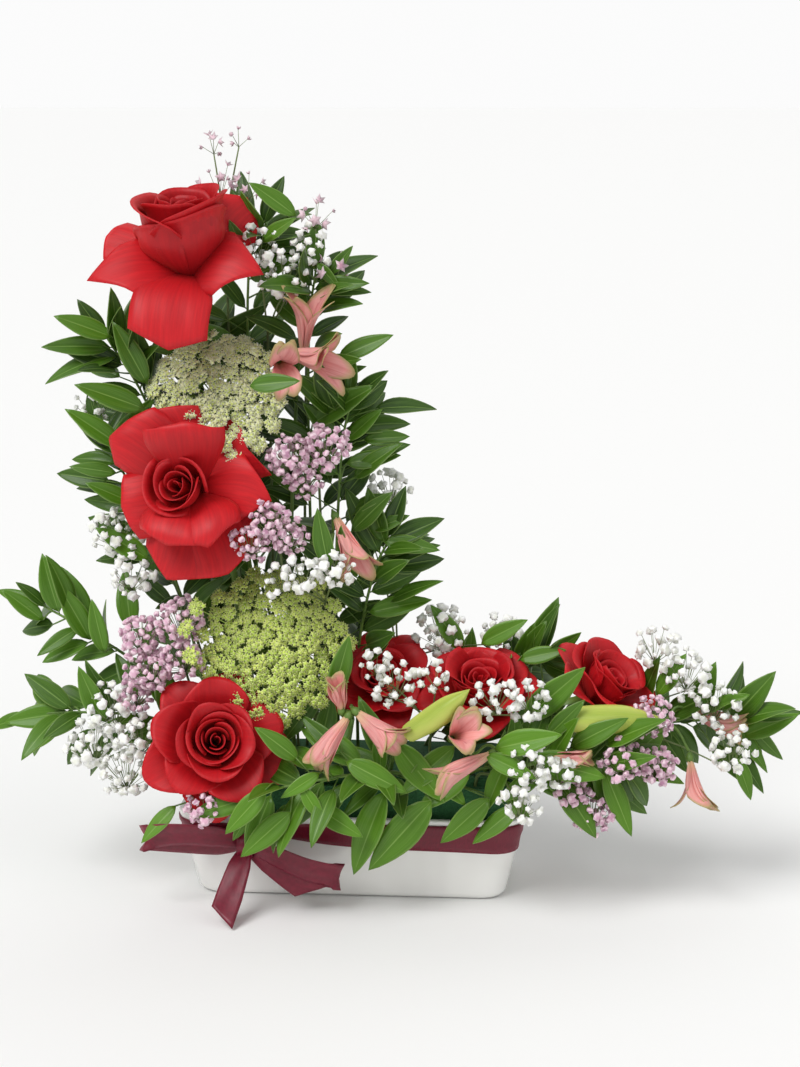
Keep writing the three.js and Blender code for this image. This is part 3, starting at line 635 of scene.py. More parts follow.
# Outer petals, given one by one: ridge, tip, width, point, roll, skew and the way the face looks.
OUTER_PETALS = {
    "rose_top": [
        ((-160, -4, 470), (-172, -6, 470), 34, 0.20, 5, 0, (0, -0.8, 0.6)),
        ((-82, 2, 500), (-66, 2, 474), 44, 0.30, 6, -4, (0.3, -0.8, 0.5)),
        ((-92, -16, 486), (-78, -4, 500), 46, 0.24, 5, 6, (0.5, -0.85, 0.1)),
        ((-88, -46, 472), (-56, -44, 449), 52, 0.52, 5, 3, (0.35, -0.78, 0.5)),
        ((-142, -46, 470), (-179, -42, 447), 54, 0.50, 5, -6, (-0.25, -0.75, 0.65)),
        ((-118, -70, 446), (-114, -72, 398), 54, 0.12, 4, 4, (0.12, -0.85, 0.4)),
    ],
    "rose_middle": [
        ((-150, -62, 350), (-164, -40, 336), 50, 0.40, 5, 0, (-0.3, -0.9, 0.2)),
        ((-122, -50, 350), (-138, -44, 352), 46, 0.34, 6, 4, (-0.2, -0.9, 0.3)),
        ((-70, -46, 336), (-66, -50, 326), 46, 0.16, 8, 0, (0.2, -0.9, 0.3)),
        ((-70, -62, 312), (-51, -58, 296), 46, 0.48, 6, 2, (0.3, -0.9, 0.1)),
        ((-78, -64, 262), (-76, -62, 246), 52, 0.26, 5, 6, (0.1, -0.98, 0.1)),
        ((-116, -62, 256), (-132, -60, 241), 56, 0.34, 5, -8, (-0.1, -0.98, 0.1)),
        ((-140, -64, 290), (-156, -58, 288), 46, 0.14, 9, 0, (-0.4, -0.9, 0.1)),
        ((-108, -86, 344), (-110, -74, 350), 56, 0.10, 9, 0, (0, -0.8, 0.6)),
        ((-84, -90, 292), (-88, -84, 268), 44, 0.30, 10, 4, (0.2, -0.95, 0.1)),
        ((-118, -90, 286), (-124, -84, 268), 50, 0.20, 10, -4, (-0.2, -0.95, 0)),
    ],
}
HIP_LENGTH = 13
STEM_DEPTH = 34

# Red rose petal: a thin velvety skin over wet tissue, with fine veins running to the edge.
# Painted shade deepens it to crimson down in the heart, and painted light brightens it to
# scarlet towards the rim, where light comes through.
rose_petal, rose_shader = principled("fresh_red_rose_petal", Roughness=0.5, IOR=1.4)
rose_shader.inputs["Sheen Weight"].default_value = 0.22
rose_shader.inputs["Sheen Roughness"].default_value = 0.5
rose_shader.inputs["Sheen Tint"].default_value = linear("FF5A50")
rose_shader.inputs["Subsurface Weight"].default_value = 0.12
rose_shader.inputs["Subsurface Radius"].default_value = (1.0, 0.12, 0.08)
rose_shader.inputs["Subsurface Scale"].default_value = 3 * MM
place = add_node(rose_petal, "ShaderNodeUVMap", {}, uv_map="along")
halves = add_node(rose_petal, "ShaderNodeSeparateXYZ", {"Vector": place.outputs["UV"]})
tone = add_node(rose_petal, "ShaderNodeAttribute", {}, attribute_name="tone")
stretch = add_node(
    rose_petal, "ShaderNodeMapping", {"Vector": place.outputs["UV"], "Scale": (26.0, 2.2, 1.0)}
)
veins = add_node(
    rose_petal, "ShaderNodeTexNoise",
    {"Vector": stretch.outputs["Vector"], "Scale": 1.0, "Detail": 4.0},
)
# Painted shade: each petal is darker towards its foot, deep in the bloom.
depth = add_node(
    rose_petal, "ShaderNodeMapRange",
    {"Value": halves.outputs["Y"], "From Min": 0.15, "From Max": 0.85},
)
painted_heart_shade = add_node(
    rose_petal, "ShaderNodeMix",
    {"Factor": depth.outputs["Result"], "A": linear("4A0008"), "B": linear("B00816")},
    data_type="RGBA",
)
# Each petal's tone lifts it towards scarlet; tones rise from the heart outwards, partly painted shade and
# light, partly random.
petal_tone_and_painted_shade = add_node(
    rose_petal, "ShaderNodeMix",
    {"Factor": tone.outputs["Fac"], "A": painted_heart_shade.outputs["Result"], "B": linear("D61821")},
    data_type="RGBA",
)
vein_fade = add_node(
    rose_petal, "ShaderNodeMapRange",
    {"Value": veins.outputs["Fac"], "From Min": 0.35, "From Max": 0.7, "To Min": 0.0,
     "To Max": 0.4},
)
veined = add_node(
    rose_petal, "ShaderNodeMix",
    {"Factor": vein_fade.outputs["Result"], "A": petal_tone_and_painted_shade.outputs["Result"], "B": linear("8A0212")},
    data_type="RGBA",
)
ridges = add_node(
    rose_petal, "ShaderNodeBump",
    {"Height": veins.outputs["Fac"], "Strength": 0.25, "Distance": 0.4 * MM},
)
rose_petal.node_tree.links.new(veined.outputs["Result"], rose_shader.inputs["Base Color"])
rose_petal.node_tree.links.new(ridges.outputs["Normal"], rose_shader.inputs["Normal"])

# Fresh green stem: a smooth waxy bark, mid green with paler streaks along it.
stem_green, stem_shader = principled("fresh_green_stem", Roughness=0.45, IOR=1.45)
place = add_node(stem_green, "ShaderNodeTexCoord", {})
streak = add_node(
    stem_green, "ShaderNodeTexNoise",
    {"Vector": place.outputs["Object"], "Scale": 1 / (9 * MM), "Detail": 3.0},
)
bark = add_node(
    stem_green, "ShaderNodeMix",
    {"Factor": streak.outputs["Fac"], "A": linear("3C5E22"), "B": linear("7A9A45")},
    data_type="RGBA",
)
stem_green.node_tree.links.new(bark.outputs["Result"], stem_shader.inputs["Base Color"])


def tube(points, foot_radius, tip_radius, steps=8, sides=6):
    """A closed round stem along a smooth line through points."""
    centre = smooth_line(points, steps)
    along = np.gradient(centre, axis=0)
    along /= np.linalg.norm(along, axis=1)[:, None]
    aside = np.cross(along, (0.31, 0.87, 0.37))
    aside /= np.linalg.norm(aside, axis=1)[:, None]
    other = np.cross(along, aside)
    a = np.linspace(0, 2 * math.pi, sides, endpoint=False)
    radius = np.linspace(foot_radius, tip_radius, steps + 1)[:, None, None]
    ring = aside[:, None] * np.cos(a)[None, :, None] + other[:, None] * np.sin(a)[None, :, None]
    points = (centre[:, None] + ring * radius).reshape(-1, 3)
    faces = [
        (s * sides + i, s * sides + (i + 1) % sides, (s + 1) * sides + (i + 1) % sides,
         (s + 1) * sides + i)
        for s in range(steps)
        for i in range(sides)
    ]
    first, last = len(points), len(points) + 1
    points = np.vstack([points, centre[0], centre[-1]])
    end = steps * sides
    for i in range(sides):
        faces.append((first, (i + 1) % sides, i, -1))
        faces.append((last, end + i, end + (i + 1) % sides, -1))
    uv = np.zeros((len(points), 2))
    return Shape(points, np.array(faces), uv)


def turned_profile(profile, sides):
    """A closed turned Shape about +Z from (radius, height) points between its two poles."""
    a = np.linspace(0, 2 * math.pi, sides, endpoint=False)
    rings = [np.column_stack([r * np.cos(a), r * np.sin(a), np.full(sides, h)])
             for r, h in profile[1:-1]]
    points = np.vstack(rings + [[[0, 0, profile[0][1]]], [[0, 0, profile[-1][1]]]])
    count = len(profile) - 2
    faces = [
        (k * sides + i, k * sides + (i + 1) % sides, (k + 1) * sides + (i + 1) % sides,
         (k + 1) * sides + i)
        for k in range(count - 1)
        for i in range(sides)
    ]
    low, high = count * sides, count * sides + 1
    for i in range(sides):
        faces.append((low, (i + 1) % sides, i, -1))
        end = (count - 1) * sides
        faces.append((high, end + i, end + (i + 1) % sides, -1))
    v = np.interp(points[:, 2], [profile[0][1], profile[-1][1]], [0, 1])
    return Shape(points, np.array(faces), np.column_stack([np.zeros(len(v)), v]))


def down_to_foam(route):
    """A stem's route with its last stretch pushed straight down into the foam."""
    x, y, z = route[-1]
    return list(route) + [(x, y, z - STEM_DEPTH)]


GOLDEN = math.pi * (3 - math.sqrt(5))
rose_sheet = made_grid(14, 14)
sepal_sheet = made_grid(4, 8)
hip_shape = turned_profile(
    [(0, -2), (3.4, 0), (5.6, 6), (4.8, 10), (5.2, HIP_LENGTH), (0, 12)], 12
)


def rose_petals(rose, chance):
    """A bloom's rolled and ringed petals on +Z, foot at the origin, and a tone for each."""
    scale = rose.reach / FULL_REACH
    shapes, tones = [], []
    heart = rose.heart
    for i in range(heart.count):
        t = i / (heart.count - 1)
        radius, height, flare = (a + (b - a) * t for a, b in heart[1:])
        made = wrapped(rose_sheet, radius, height * chance.uniform(0.97, 1.03), 96 - 14 * t,
                       chance.uniform(-2.5, 2.5), flare, 0.09 * radius, chance.uniform(0, 6))
        shapes.append(placed(made, spin=i * GOLDEN + rose.spin, scale=scale))
        # Inner heart petals get low tones and outer ones higher: painted shade deep in the heart, with a
        # random spread.
        tones.append(0.05 + 0.45 * t * chance.uniform(0.6, 1.0))
    if rose.heart is GOBLET_HEART:
        for azimuth, radius, height, spread, slope, flare, close in GOBLET_WRAPS:
            made = wrapped(rose_sheet, radius, height, spread, slope, flare, close, azimuth)
            shapes.append(placed(made, spin=math.radians(azimuth)))
            tones.append(0.45)

    def jitter(spread):
        return 1 + chance.uniform(-spread, spread)

    for k, tier in enumerate(rose.tiers):
        for i in range(tier.count):
            lean = [a + chance.uniform(-6, 6) for a in tier.lean]
            made = petal(
                rose_sheet, tier.length * jitter(0.06), tier.width * jitter(0.06), lean, tier.cup,
                roll=tier.roll * jitter(0.3), point=tier.point * jitter(0.15),
                foot=tier.foot + 0.8 * i / tier.count, skew=chance.uniform(-1, 1),
                frill=1.2 + 0.4 * k * chance.random(), seed=chance.uniform(0, 6),
            )
            spin = math.radians(tier.start + 360 * i / tier.count + chance.uniform(-9, 9))
            shapes.append(placed(made, spin=spin + rose.spin, scale=scale))
            # Outer rings get higher tones: painted light on the open outside of the bloom, with a random
            # spread.
            tones.append(chance.uniform(0.2, 0.55) + 0.12 * k)
    return shapes, tones


for number, rose in enumerate(ROSES):
    chance = random.Random(11 + number)
    shapes, tones = rose_petals(rose, chance)
    shapes = [placed(s, at=rose.at, towards=rose.face) for s in shapes]
    for ridge, tip, width, point, roll, skew, look in OUTER_PETALS.get(rose.name, []):
        shapes.append(draped(rose_sheet, rose.at, ridge, tip, width, point, roll, skew, 1.0,
                             chance.uniform(0, 6), look))
        # Draped outer petals get the highest tones: painted light on the outside of the bloom.
        tones.append(chance.uniform(0.55, 0.9))
    bloom = made_piece(f"{rose.name}_petals", shapes, tones)
    modified(bloom, "SOLIDIFY", thickness=0.5 * MM, offset=0)
    finish_piece(bloom, f"{rose.name}_petals", rose_petal, [f"{rose.name}_bloom"])

    face = np.asarray(rose.face, float) / np.linalg.norm(rose.face)
    foot = np.asarray(rose.at) - face * HIP_LENGTH
    green = [placed(hip_shape, at=foot, towards=rose.face),
             tube([tuple(foot)] + down_to_foam(rose.route), 2.8, 3.2, steps=20, sides=10)]
    for i in range(5):
        sepal = petal(sepal_sheet, 26, 9, (70, 100, 140, 150), (8, 14), point=0.7, foot=3.5)
        green.append(placed(sepal, at=tuple(foot + face * (HIP_LENGTH - 2)), towards=rose.face,
                            spin=i * 2 * math.pi / 5 + rose.spin))
    stem = made_piece(f"{rose.name}_green", green)
    finish_piece(stem, f"{rose.name}_green", stem_green, [f"{rose.name}_stem"])

# ---- Queen Anne's lace -----------------------------------------------------------------------
# Two wide umbels. Dozens of rays spring from one point, and each ends in a small umbel of its
# own, a tuft of stalks with a tiny five-lobed floret on each. The lower one is still green.


def five_lobed(radius, depth, notch=0.45, sides=5):
    """A tiny closed flower of rounded lobes, its back at the origin, looking along +Z."""
    a = np.linspace(0, 2 * math.pi, 2 * sides, endpoint=False)
    r = np.where(np.arange(2 * sides) % 2 == 0, radius, radius * notch)
    z = np.where(np.arange(2 * sides) % 2 == 0, depth, depth * 0.45)
    rim = np.column_stack([r * np.cos(a), r * np.sin(a), z])
    points = np.vstack([rim, [[0, 0, depth * 0.3]], [[0, 0, -0.2 * depth]]])
    count = 2 * sides
    faces = []
    for i in range(count):
        faces.append((count, i, (i + 1) % count, -1))
        faces.append((count + 1, (i + 1) % count, i, -1))
    uv = np.zeros((len(points), 2))
    uv[:count, 1] = np.where(np.arange(count) % 2 == 0, 1.0, 0.5)
    return Shape(points, np.array(faces), uv)


def simple_material(name, dark, light, tip=None, **values):
    """A plant surface that goes from a dark to a light colour with each part's tone, and to a tip
    colour along it."""
    material, shader = principled(name, **values)
    tone = add_node(material, "ShaderNodeAttribute", {}, attribute_name="tone")
    colour = add_node(
        material, "ShaderNodeMix",
        {"Factor": tone.outputs["Fac"], "A": linear(dark), "B": linear(light)},
        data_type="RGBA",
    ).outputs["Result"]
    place = add_node(material, "ShaderNodeUVMap", {}, uv_map="along")
    if tip is not None:
        halves = add_node(material, "ShaderNodeSeparateXYZ", {"Vector": place.outputs["UV"]})
        reach = add_node(
            material, "ShaderNodeMapRange",
            {"Value": halves.outputs["Y"], "From Min": 0.2, "From Max": 1.0},
        )
        colour = add_node(
            material, "ShaderNodeMix",
            {"Factor": reach.outputs["Result"], "A": colour, "B": linear(tip)},
            data_type="RGBA",
        ).outputs["Result"]
    material.node_tree.links.new(colour, shader.inputs["Base Color"])
    return material


# Floret of wild carrot: matte and papery, from grass green in the bud to cream when open.
lace_open = simple_material(
    "open_lace_floret", "D0DE62", "F4F6B8", "FFFFEA", Roughness=0.75, Subsurface_Weight=0.0
)
lace_green = simple_material(
    "green_lace_floret", "AACC38", "DCEE6C", "F8FCB4", Roughness=0.75, Subsurface_Weight=0.0
)
# Its rays and stalks: thin, pale yellow-green and slightly waxy.
lace_stalk = simple_material("lace_ray", "56781E", "9DB850", Roughness=0.55)

Lace = namedtuple("Lace", "name at face radius rays route material loose")
LACES = [
    Lace("lace_upper", (-96, -22, 364), (-0.1, -0.82, 0.56), 47, 66,
         [(-88, -2, 352), (-80, 8, 260), (-66, 8, 150), (-58, 6, 92)], lace_open,
         [(-62, -44, 330), (-78, -48, 322), (-52, -40, 344), (-48, -36, 360)]),
    Lace("lace_lower", (-53, -40, 186), (0.05, -0.93, 0.36), 55, 84,
         [(-52, -26, 180), (-54, -20, 130), (-56, -18, 92)], lace_green,
         [(-112, -64, 204), (-108, -70, 186), (-104, -66, 220)]),
]
FLORETS_PER_TUFT = 20
TUFT_RADIUS = 5.6
HUB_DEPTH = 14  # how far the rays' meeting point lies behind the umbel
DOME_RISE = 15

floret = five_lobed(2.1, 1.5, 0.6)
for number, lace in enumerate(LACES):
    chance = random.Random(40 + number)
    face = np.asarray(lace.face, float) / np.linalg.norm(lace.face)
    hub = np.asarray(lace.at, float) - face * HUB_DEPTH
    stalks = [tube([tuple(hub)] + down_to_foam(lace.route), 1.6, 2.0, steps=16, sides=8)]
    stalk_tones, florets, floret_tones = [0.2], [], []
    tufts = []
    for k in range(lace.rays):
        reach = math.sqrt((k + 0.6) / lace.rays)
        angle = k * GOLDEN
        dome = DOME_RISE * (1 - reach**2) + chance.uniform(-3, 3)
        local = np.array([[reach * lace.radius * math.cos(angle),
                           reach * lace.radius * math.sin(angle), dome]])
        flat = Shape(local, np.zeros((0, 4), int), np.zeros((1, 2)))
        tufts.append(placed(flat, at=lace.at, towards=lace.face).points[0])
    tufts += [np.asarray(place_at, float) for place_at in lace.loose]
    for centre in tufts:
        out = centre - hub
        out /= np.linalg.norm(out)
        aim = out * 0.6 + face * 0.8
        aim /= np.linalg.norm(aim)
        node = centre - aim * 6
        middle = (hub + node) / 2 - face * 3
        stalks.append(tube([tuple(hub), tuple(middle), tuple(node)], 0.5, 0.35, steps=3, sides=4))
        stalk_tones.append(chance.uniform(0.2, 1.0))
        ripe = chance.uniform(0.2, 1.0)
        for j in range(FLORETS_PER_TUFT):
            share = math.sqrt((j + 0.5) / FLORETS_PER_TUFT)
            spread = TUFT_RADIUS * share * chance.uniform(0.85, 1.1)
            angle = j * GOLDEN + centre[0]
            local = np.array([[spread * math.cos(angle), spread * math.sin(angle),
                               6 - 0.035 * spread**2 + chance.uniform(-0.8, 0.8)]])
            flat = Shape(local, np.zeros((0, 4), int), np.zeros((1, 2)))
            tip = placed(flat, at=tuple(node), towards=tuple(aim)).points[0]
            lean = (tip - node) / np.linalg.norm(tip - node) + aim
            stalks.append(tube([tuple(node), tuple(tip)], 0.22, 0.18, steps=1, sides=3))
            stalk_tones.append(chance.uniform(0.3, 1.0))
            florets.append(placed(floret, at=tuple(tip), towards=tuple(lean),
                                  spin=chance.uniform(0, 6), scale=chance.uniform(0.75, 1.2)))
            floret_tones.append(min(1, ripe * chance.uniform(0.1, 1.5)))
    green = made_piece(f"{lace.name}_rays", stalks, stalk_tones)
    finish_piece(green, f"{lace.name}_rays", lace_stalk, [lace.name])
    white = made_piece(f"{lace.name}_florets", florets, floret_tones)
    finish_piece(white, f"{lace.name}_florets", lace.material)

# ---- Lily buds -------------------------------------------------------------------------------
# Two closed lily buds. Three outer and three inner tepals are folded edge to edge, so that the
# bud is a long spindle with shallow grooves, blunt at the stalk and pointed at the tip.

Bud = namedtuple("Bud", "name at face length radius route")
LILY_BUDS = [
    Bud("lily_bud_left", (42, -84, 136), (0.76, -0.12, 0.62), 58, 9,
        [(34, -58, 118), (30, -42, 104), (28, -34, 92)]),
    Bud("lily_bud_right", (150, -62, 143), (1, 0.02, 0.04), 68, 11.5,
        [(120, -40, 118), (104, -30, 104), (96, -24, 92)]),
]
# Lily tepal in the bud: waxy and smooth, yellow-green with a greener back to each rib.
lily_skin, lily_shader = principled("closed_lily_tepal", Roughness=0.38, IOR=1.45)
lily_shader.inputs["Subsurface Weight"].default_value = 0.1
lily_shader.inputs["Subsurface Radius"].default_value = (0.5, 0.6, 0.15)
lily_shader.inputs["Subsurface Scale"].default_value = 3 * MM
place = add_node(lily_skin, "ShaderNodeUVMap", {}, uv_map="along")
halves = add_node(lily_skin, "ShaderNodeSeparateXYZ", {"Vector": place.outputs["UV"]})
lily_tone = add_node(
    lily_skin, "ShaderNodeMix",
    {"Factor": halves.outputs["X"], "A": linear("7E9A2C"), "B": linear("D2D86E")},
    data_type="RGBA",
)
stretch = add_node(
    lily_skin, "ShaderNodeMapping", {"Vector": place.outputs["UV"], "Scale": (9.0, 2.0, 1.0)}
)
streaks = add_node(
    lily_skin, "ShaderNodeTexNoise",
    {"Vector": stretch.outputs["Vector"], "Scale": 3.0, "Detail": 4.0},
)
lily_mix = add_node(
    lily_skin, "ShaderNodeMix",
    {"Factor": streaks.outputs["Fac"], "A": lily_tone.outputs["Result"], "B": linear("B7C558")},
    data_type="RGBA",
)
lily_ridges = add_node(
    lily_skin, "ShaderNodeBump",
    {"Height": streaks.outputs["Fac"], "Strength": 0.3, "Distance": 0.5 * MM},
)
lily_skin.node_tree.links.new(lily_mix.outputs["Result"], lily_shader.inputs["Base Color"])
lily_skin.node_tree.links.new(lily_ridges.outputs["Normal"], lily_shader.inputs["Normal"])

for bud in LILY_BUDS:
    profile = [(0, 0)]
    for t in np.linspace(0.02, 0.985, 16):
        swell = 0.42 + 0.58 * math.sin(math.pi * min(1, 0.18 + 0.72 * t)) ** 1.1
        taper = 1 - max(0, (t - 0.55) / 0.45) ** 2.2
        profile.append((bud.radius * swell * max(0.06, taper), bud.length * t))
    profile.append((0, bud.length))
    shape = turned_profile(profile, 30)
    points = shape.points.copy()
    angle = np.arctan2(points[:, 1], points[:, 0])
    t = points[:, 2] / bud.length
    groove = 1 - 0.13 * np.abs(np.sin(1.5 * angle + 0.8 * t)) ** 6 - 0.05 * np.cos(3 * angle)
    points[:, :2] *= groove[:, None]
    points[:, 0] += 3.5 * np.sin(math.pi * t)
    uv = np.column_stack([0.5 + 0.5 * np.cos(3 * angle), t])
    made = placed(Shape(points, shape.faces, uv), at=bud.at, towards=bud.face, spin=0.9)
    piece = made_piece(f"{bud.name}_tepals", [made])
    modified(piece, "SUBSURF", levels=1, render_levels=1)
    finish_piece(piece, f"{bud.name}_tepals", lily_skin, [bud.name])
    stalk = made_piece(
        f"{bud.name}_stalk",
        [tube([bud.at] + down_to_foam(bud.route), 1.9, 2.2, steps=12, sides=8)],
    )
    finish_piece(stalk, f"{bud.name}_stalk", stem_green)

# ---- Alstroemeria ----------------------------------------------------------------------------
# Trumpets of six tepals in two whorls of three, salmon pink with a green-brown tip to each
# outer one. Some are open, some still closed, and each hangs on a thin bent stalk.

Spray = namedtuple("Spray", "name route heads")
ALSTROEMERIAS = [
    # heads are place, direction, length and how far the trumpet is open
    Spray("alstroemeria_top", [(-40, 6, 372), (-46, 14, 280), (-48, 14, 160), (-46, 12, 92)],
          [((-34, -10, 388), (0.12, -0.25, 0.97), 54, 0.7),
           ((-50, -24, 386), (0.3, -0.95, -0.1), 40, 1.3),
           ((-44, -22, 392), (0.85, -0.5, -0.12), 52, 0.9)]),
    Spray("alstroemeria_middle", [(-14, -10, 262), (-26, 0, 180), (-30, 0, 92)],
          [((-10, -28, 276), (0.42, -0.5, -0.75), 50, 0.6)]),
    Spray("alstroemeria_front_left", [(4, -60, 140), (-2, -44, 110), (-8, -36, 92)],
          [((2, -84, 148), (-0.55, -0.35, -0.76), 46, 0.55),
           ((10, -86, 152), (0.76, -0.35, -0.55), 42, 0.8),
           ((-2, -82, 154), (-0.1, -0.35, 0.93), 28, 0.1)]),
    Spray("alstroemeria_front_right", [(90, -66, 118), (78, -50, 104), (72, -40, 92)],
          [((74, -74, 132), (0.3, -0.85, 0.42), 40, 0.9),
           ((100, -84, 124), (-0.86, -0.34, -0.38), 50, 0.35)]),
    Spray("alstroemeria_bud", [(132, -58, 110), (116, -44, 100), (104, -40, 92)],
          [((144, -72, 119), (1, -0.12, 0.02), 28, 0.0)]),
    Spray("alstroemeria_end", [(224, -14, 128), (180, -4, 118), (140, 0, 106), (114, -6, 92)],
          [((240, -42, 108), (0.1, -0.42, -0.9), 40, 0.9),
           ((244, -12, 136), (0.92, -0.2, -0.32), 42, 0.5)]),
]
# Alstroemeria tepal: thin and satiny, dusky pink, tipped with green.
alstro_petal, alstro_shader = principled("alstroemeria_tepal", Roughness=0.45, IOR=1.4)
alstro_shader.inputs["Subsurface Weight"].default_value = 0.12
alstro_shader.inputs["Subsurface Radius"].default_value = (1.0, 0.4, 0.3)
alstro_shader.inputs["Subsurface Scale"].default_value = 2 * MM
place = add_node(alstro_petal, "ShaderNodeUVMap", {}, uv_map="along")
halves = add_node(alstro_petal, "ShaderNodeSeparateXYZ", {"Vector": place.outputs["UV"]})
tone = add_node(alstro_petal, "ShaderNodeAttribute", {}, attribute_name="tone")
pink = add_node(
    alstro_petal, "ShaderNodeMix",
    {"Factor": tone.outputs["Fac"], "A": linear("B83A50"), "B": linear("EE8F88")},
    data_type="RGBA",
)
stretch = add_node(
    alstro_petal, "ShaderNodeMapping", {"Vector": place.outputs["UV"], "Scale": (14.0, 2.0, 1.0)}
)
lines = add_node(
    alstro_petal, "ShaderNodeTexNoise",
    {"Vector": stretch.outputs["Vector"], "Scale": 1.0, "Detail": 3.0},
)
lined = add_node(
    alstro_petal, "ShaderNodeMix",
    {"Factor": lines.outputs["Fac"], "A": pink.outputs["Result"], "B": linear("F4BDB4")},
    data_type="RGBA",
)
tip_reach = add_node(
    alstro_petal, "ShaderNodeMapRange",
    {"Value": halves.outputs["Y"], "From Min": 0.84, "From Max": 1.0, "To Max": 0.75},
)
tipped = add_node(
    alstro_petal, "ShaderNodeMix",
    {"Factor": tip_reach.outputs["Result"], "A": lined.outputs["Result"], "B": linear("8C9B4A")},
    data_type="RGBA",
)
throat_reach = add_node(
    alstro_petal, "ShaderNodeMapRange",
    {"Value": halves.outputs["Y"], "From Min": 0.35, "From Max": 0.0, "To Max": 0.6},
)
throat = add_node(
    alstro_petal, "ShaderNodeMix",
    {"Factor": throat_reach.outputs["Result"], "A": tipped.outputs["Result"],
     "B": linear("D8C98A")},
    data_type="RGBA",
)
alstro_petal.node_tree.links.new(throat.outputs["Result"], alstro_shader.inputs["Base Color"])
tepal_sheet = made_grid(8, 12)


def trumpet(length, opened, chance):
    """One alstroemeria on +Z: six tepals and the tone of each."""
    shapes, tones = [], []
    for whorl, (width, extra) in enumerate([(21, 0), (16, 5)]):
        for i in range(3):
            lean = (6, 4 + 8 * opened, 6 + 22 * opened + extra, 14 + 52 * opened + extra)
            made = petal(
                tepal_sheet, length * chance.uniform(0.92, 1.04), width, lean,
                (4.5, 7 + 8 * opened), roll=2.5 * opened, point=0.34, foot=1.4, skew=chance.uniform(-1, 1),
                frill=0.6, seed=chance.uniform(0, 6),
            )
            shapes.append(placed(made, spin=math.radians(120 * i + 60 * whorl)))
            tones.append(chance.uniform(0.1, 0.9))
    return shapes, tones


for number, spray in enumerate(ALSTROEMERIAS):
    chance = random.Random(70 + number)
    shapes, tones = [], []
    green = [tube(down_to_foam(spray.route), 1.4, 1.9, steps=16, sides=6)]
    for at, face, length, opened in spray.heads:
        made, made_tones = trumpet(length, opened, chance)
        shapes += [placed(s, at=at, towards=face, spin=chance.uniform(0, 6)) for s in made]
        tones += made_tones
        aim = np.asarray(face, float) / np.linalg.norm(face)
        back = np.asarray(at, float) - aim * 7
        bend = (back + np.asarray(spray.route[0])) / 2 + (0, 0, 5)
        green.append(tube([spray.route[0], tuple(bend), tuple(back)], 1.1, 1.0, steps=6, sides=6))
        ovary = turned_profile([(0, 0), (1.4, 1), (3.0, 4), (2.6, 7.5), (0, 8)], 8)
        green.append(placed(ovary, at=tuple(np.asarray(at) - aim * 7), towards=face))
    flower = made_piece(f"{spray.name}_tepals", shapes, tones)
    modified(flower, "SOLIDIFY", thickness=0.45 * MM, offset=0)
    finish_piece(flower, f"{spray.name}_tepals", alstro_petal, [spray.name])
    stalk = made_piece(f"{spray.name}_stalks", green)
    finish_piece(stalk, f"{spray.name}_stalks", stem_green)

# ---- Fillers: statice, baby's breath and wax flower ------------------------------------------
# Wiry, branching twigs that carry many tiny flowers in loose clusters. Each cluster's twig forks
# from the spray's stem, and every flower has its own thread of a stalk.


def cluster_places(centre, radius, count, chance):
    """Places spread through a rounded cluster, most of them near its surface."""
    places = []
    for k in range(count):
        height = 1 - 2 * (k + 0.5) / count
        ring = math.sqrt(1 - height**2)
        angle = k * GOLDEN + centre[0]
        reach = radius * chance.uniform(0.6, 1.08)
        places.append((centre[0] + reach * ring * math.cos(angle),
                       centre[1] + reach * ring * math.sin(angle),
                       centre[2] + reach * height))
    return places


def filler(spray, flowers, per_cluster, twig, petals, seed, sizes=(0.85, 1.15)):
    """Two pieces for a spray: its twigs and its flowers, chosen in turn from the models."""
    chance = random.Random(seed)
    twigs = [tube(down_to_foam(spray.route), 1.0, 1.4, steps=14, sides=6)]
    twig_tones, blooms, tones = [0.2], [], []
    for centre, radius in spray.heads:
        fork = np.asarray(centre, float) + (0, 0.35 * radius, -0.9 * radius)
        start = np.asarray(spray.route[0], float)
        bend = (fork + start) / 2 + (0, 0, 4)
        twigs.append(tube([tuple(start), tuple(bend), tuple(fork)], 0.8, 0.5, steps=5, sides=5))
        twig_tones.append(0.5)
        count = max(4, round(per_cluster * (radius / 14) ** 2))
        for place_at in cluster_places(centre, radius, count, chance):
            tip = np.asarray(place_at)
            away = tip - np.asarray(centre) + (0, -0.35 * radius, 0.25 * radius)
            away /= np.linalg.norm(away)
            away = away + np.array([chance.uniform(-0.4, 0.4) for _ in "xyz"])
            twigs.append(tube([tuple(fork), tuple(tip)], 0.28, 0.2, steps=1, sides=3))
            twig_tones.append(chance.uniform(0.3, 1.0))
            model = flowers[chance.randrange(len(flowers))]
            blooms.append(placed(model, at=tuple(tip), towards=tuple(away),
                                 spin=chance.uniform(0, 6), scale=chance.uniform(*sizes)))
            tones.append(chance.uniform(0, 1))
    stalk = made_piece(f"{spray.name}_twigs", twigs, twig_tones)
    finish_piece(stalk, f"{spray.name}_twigs", twig, [spray.name])
    flower = made_piece(f"{spray.name}_flowers", blooms, tones)
    finish_piece(flower, f"{spray.name}_flowers", petals)


# Twig: thin, dry and grey-green.
twig_green = simple_material("wiry_green_twig", "4A5E2A", "8C9C63", Roughness=0.6)
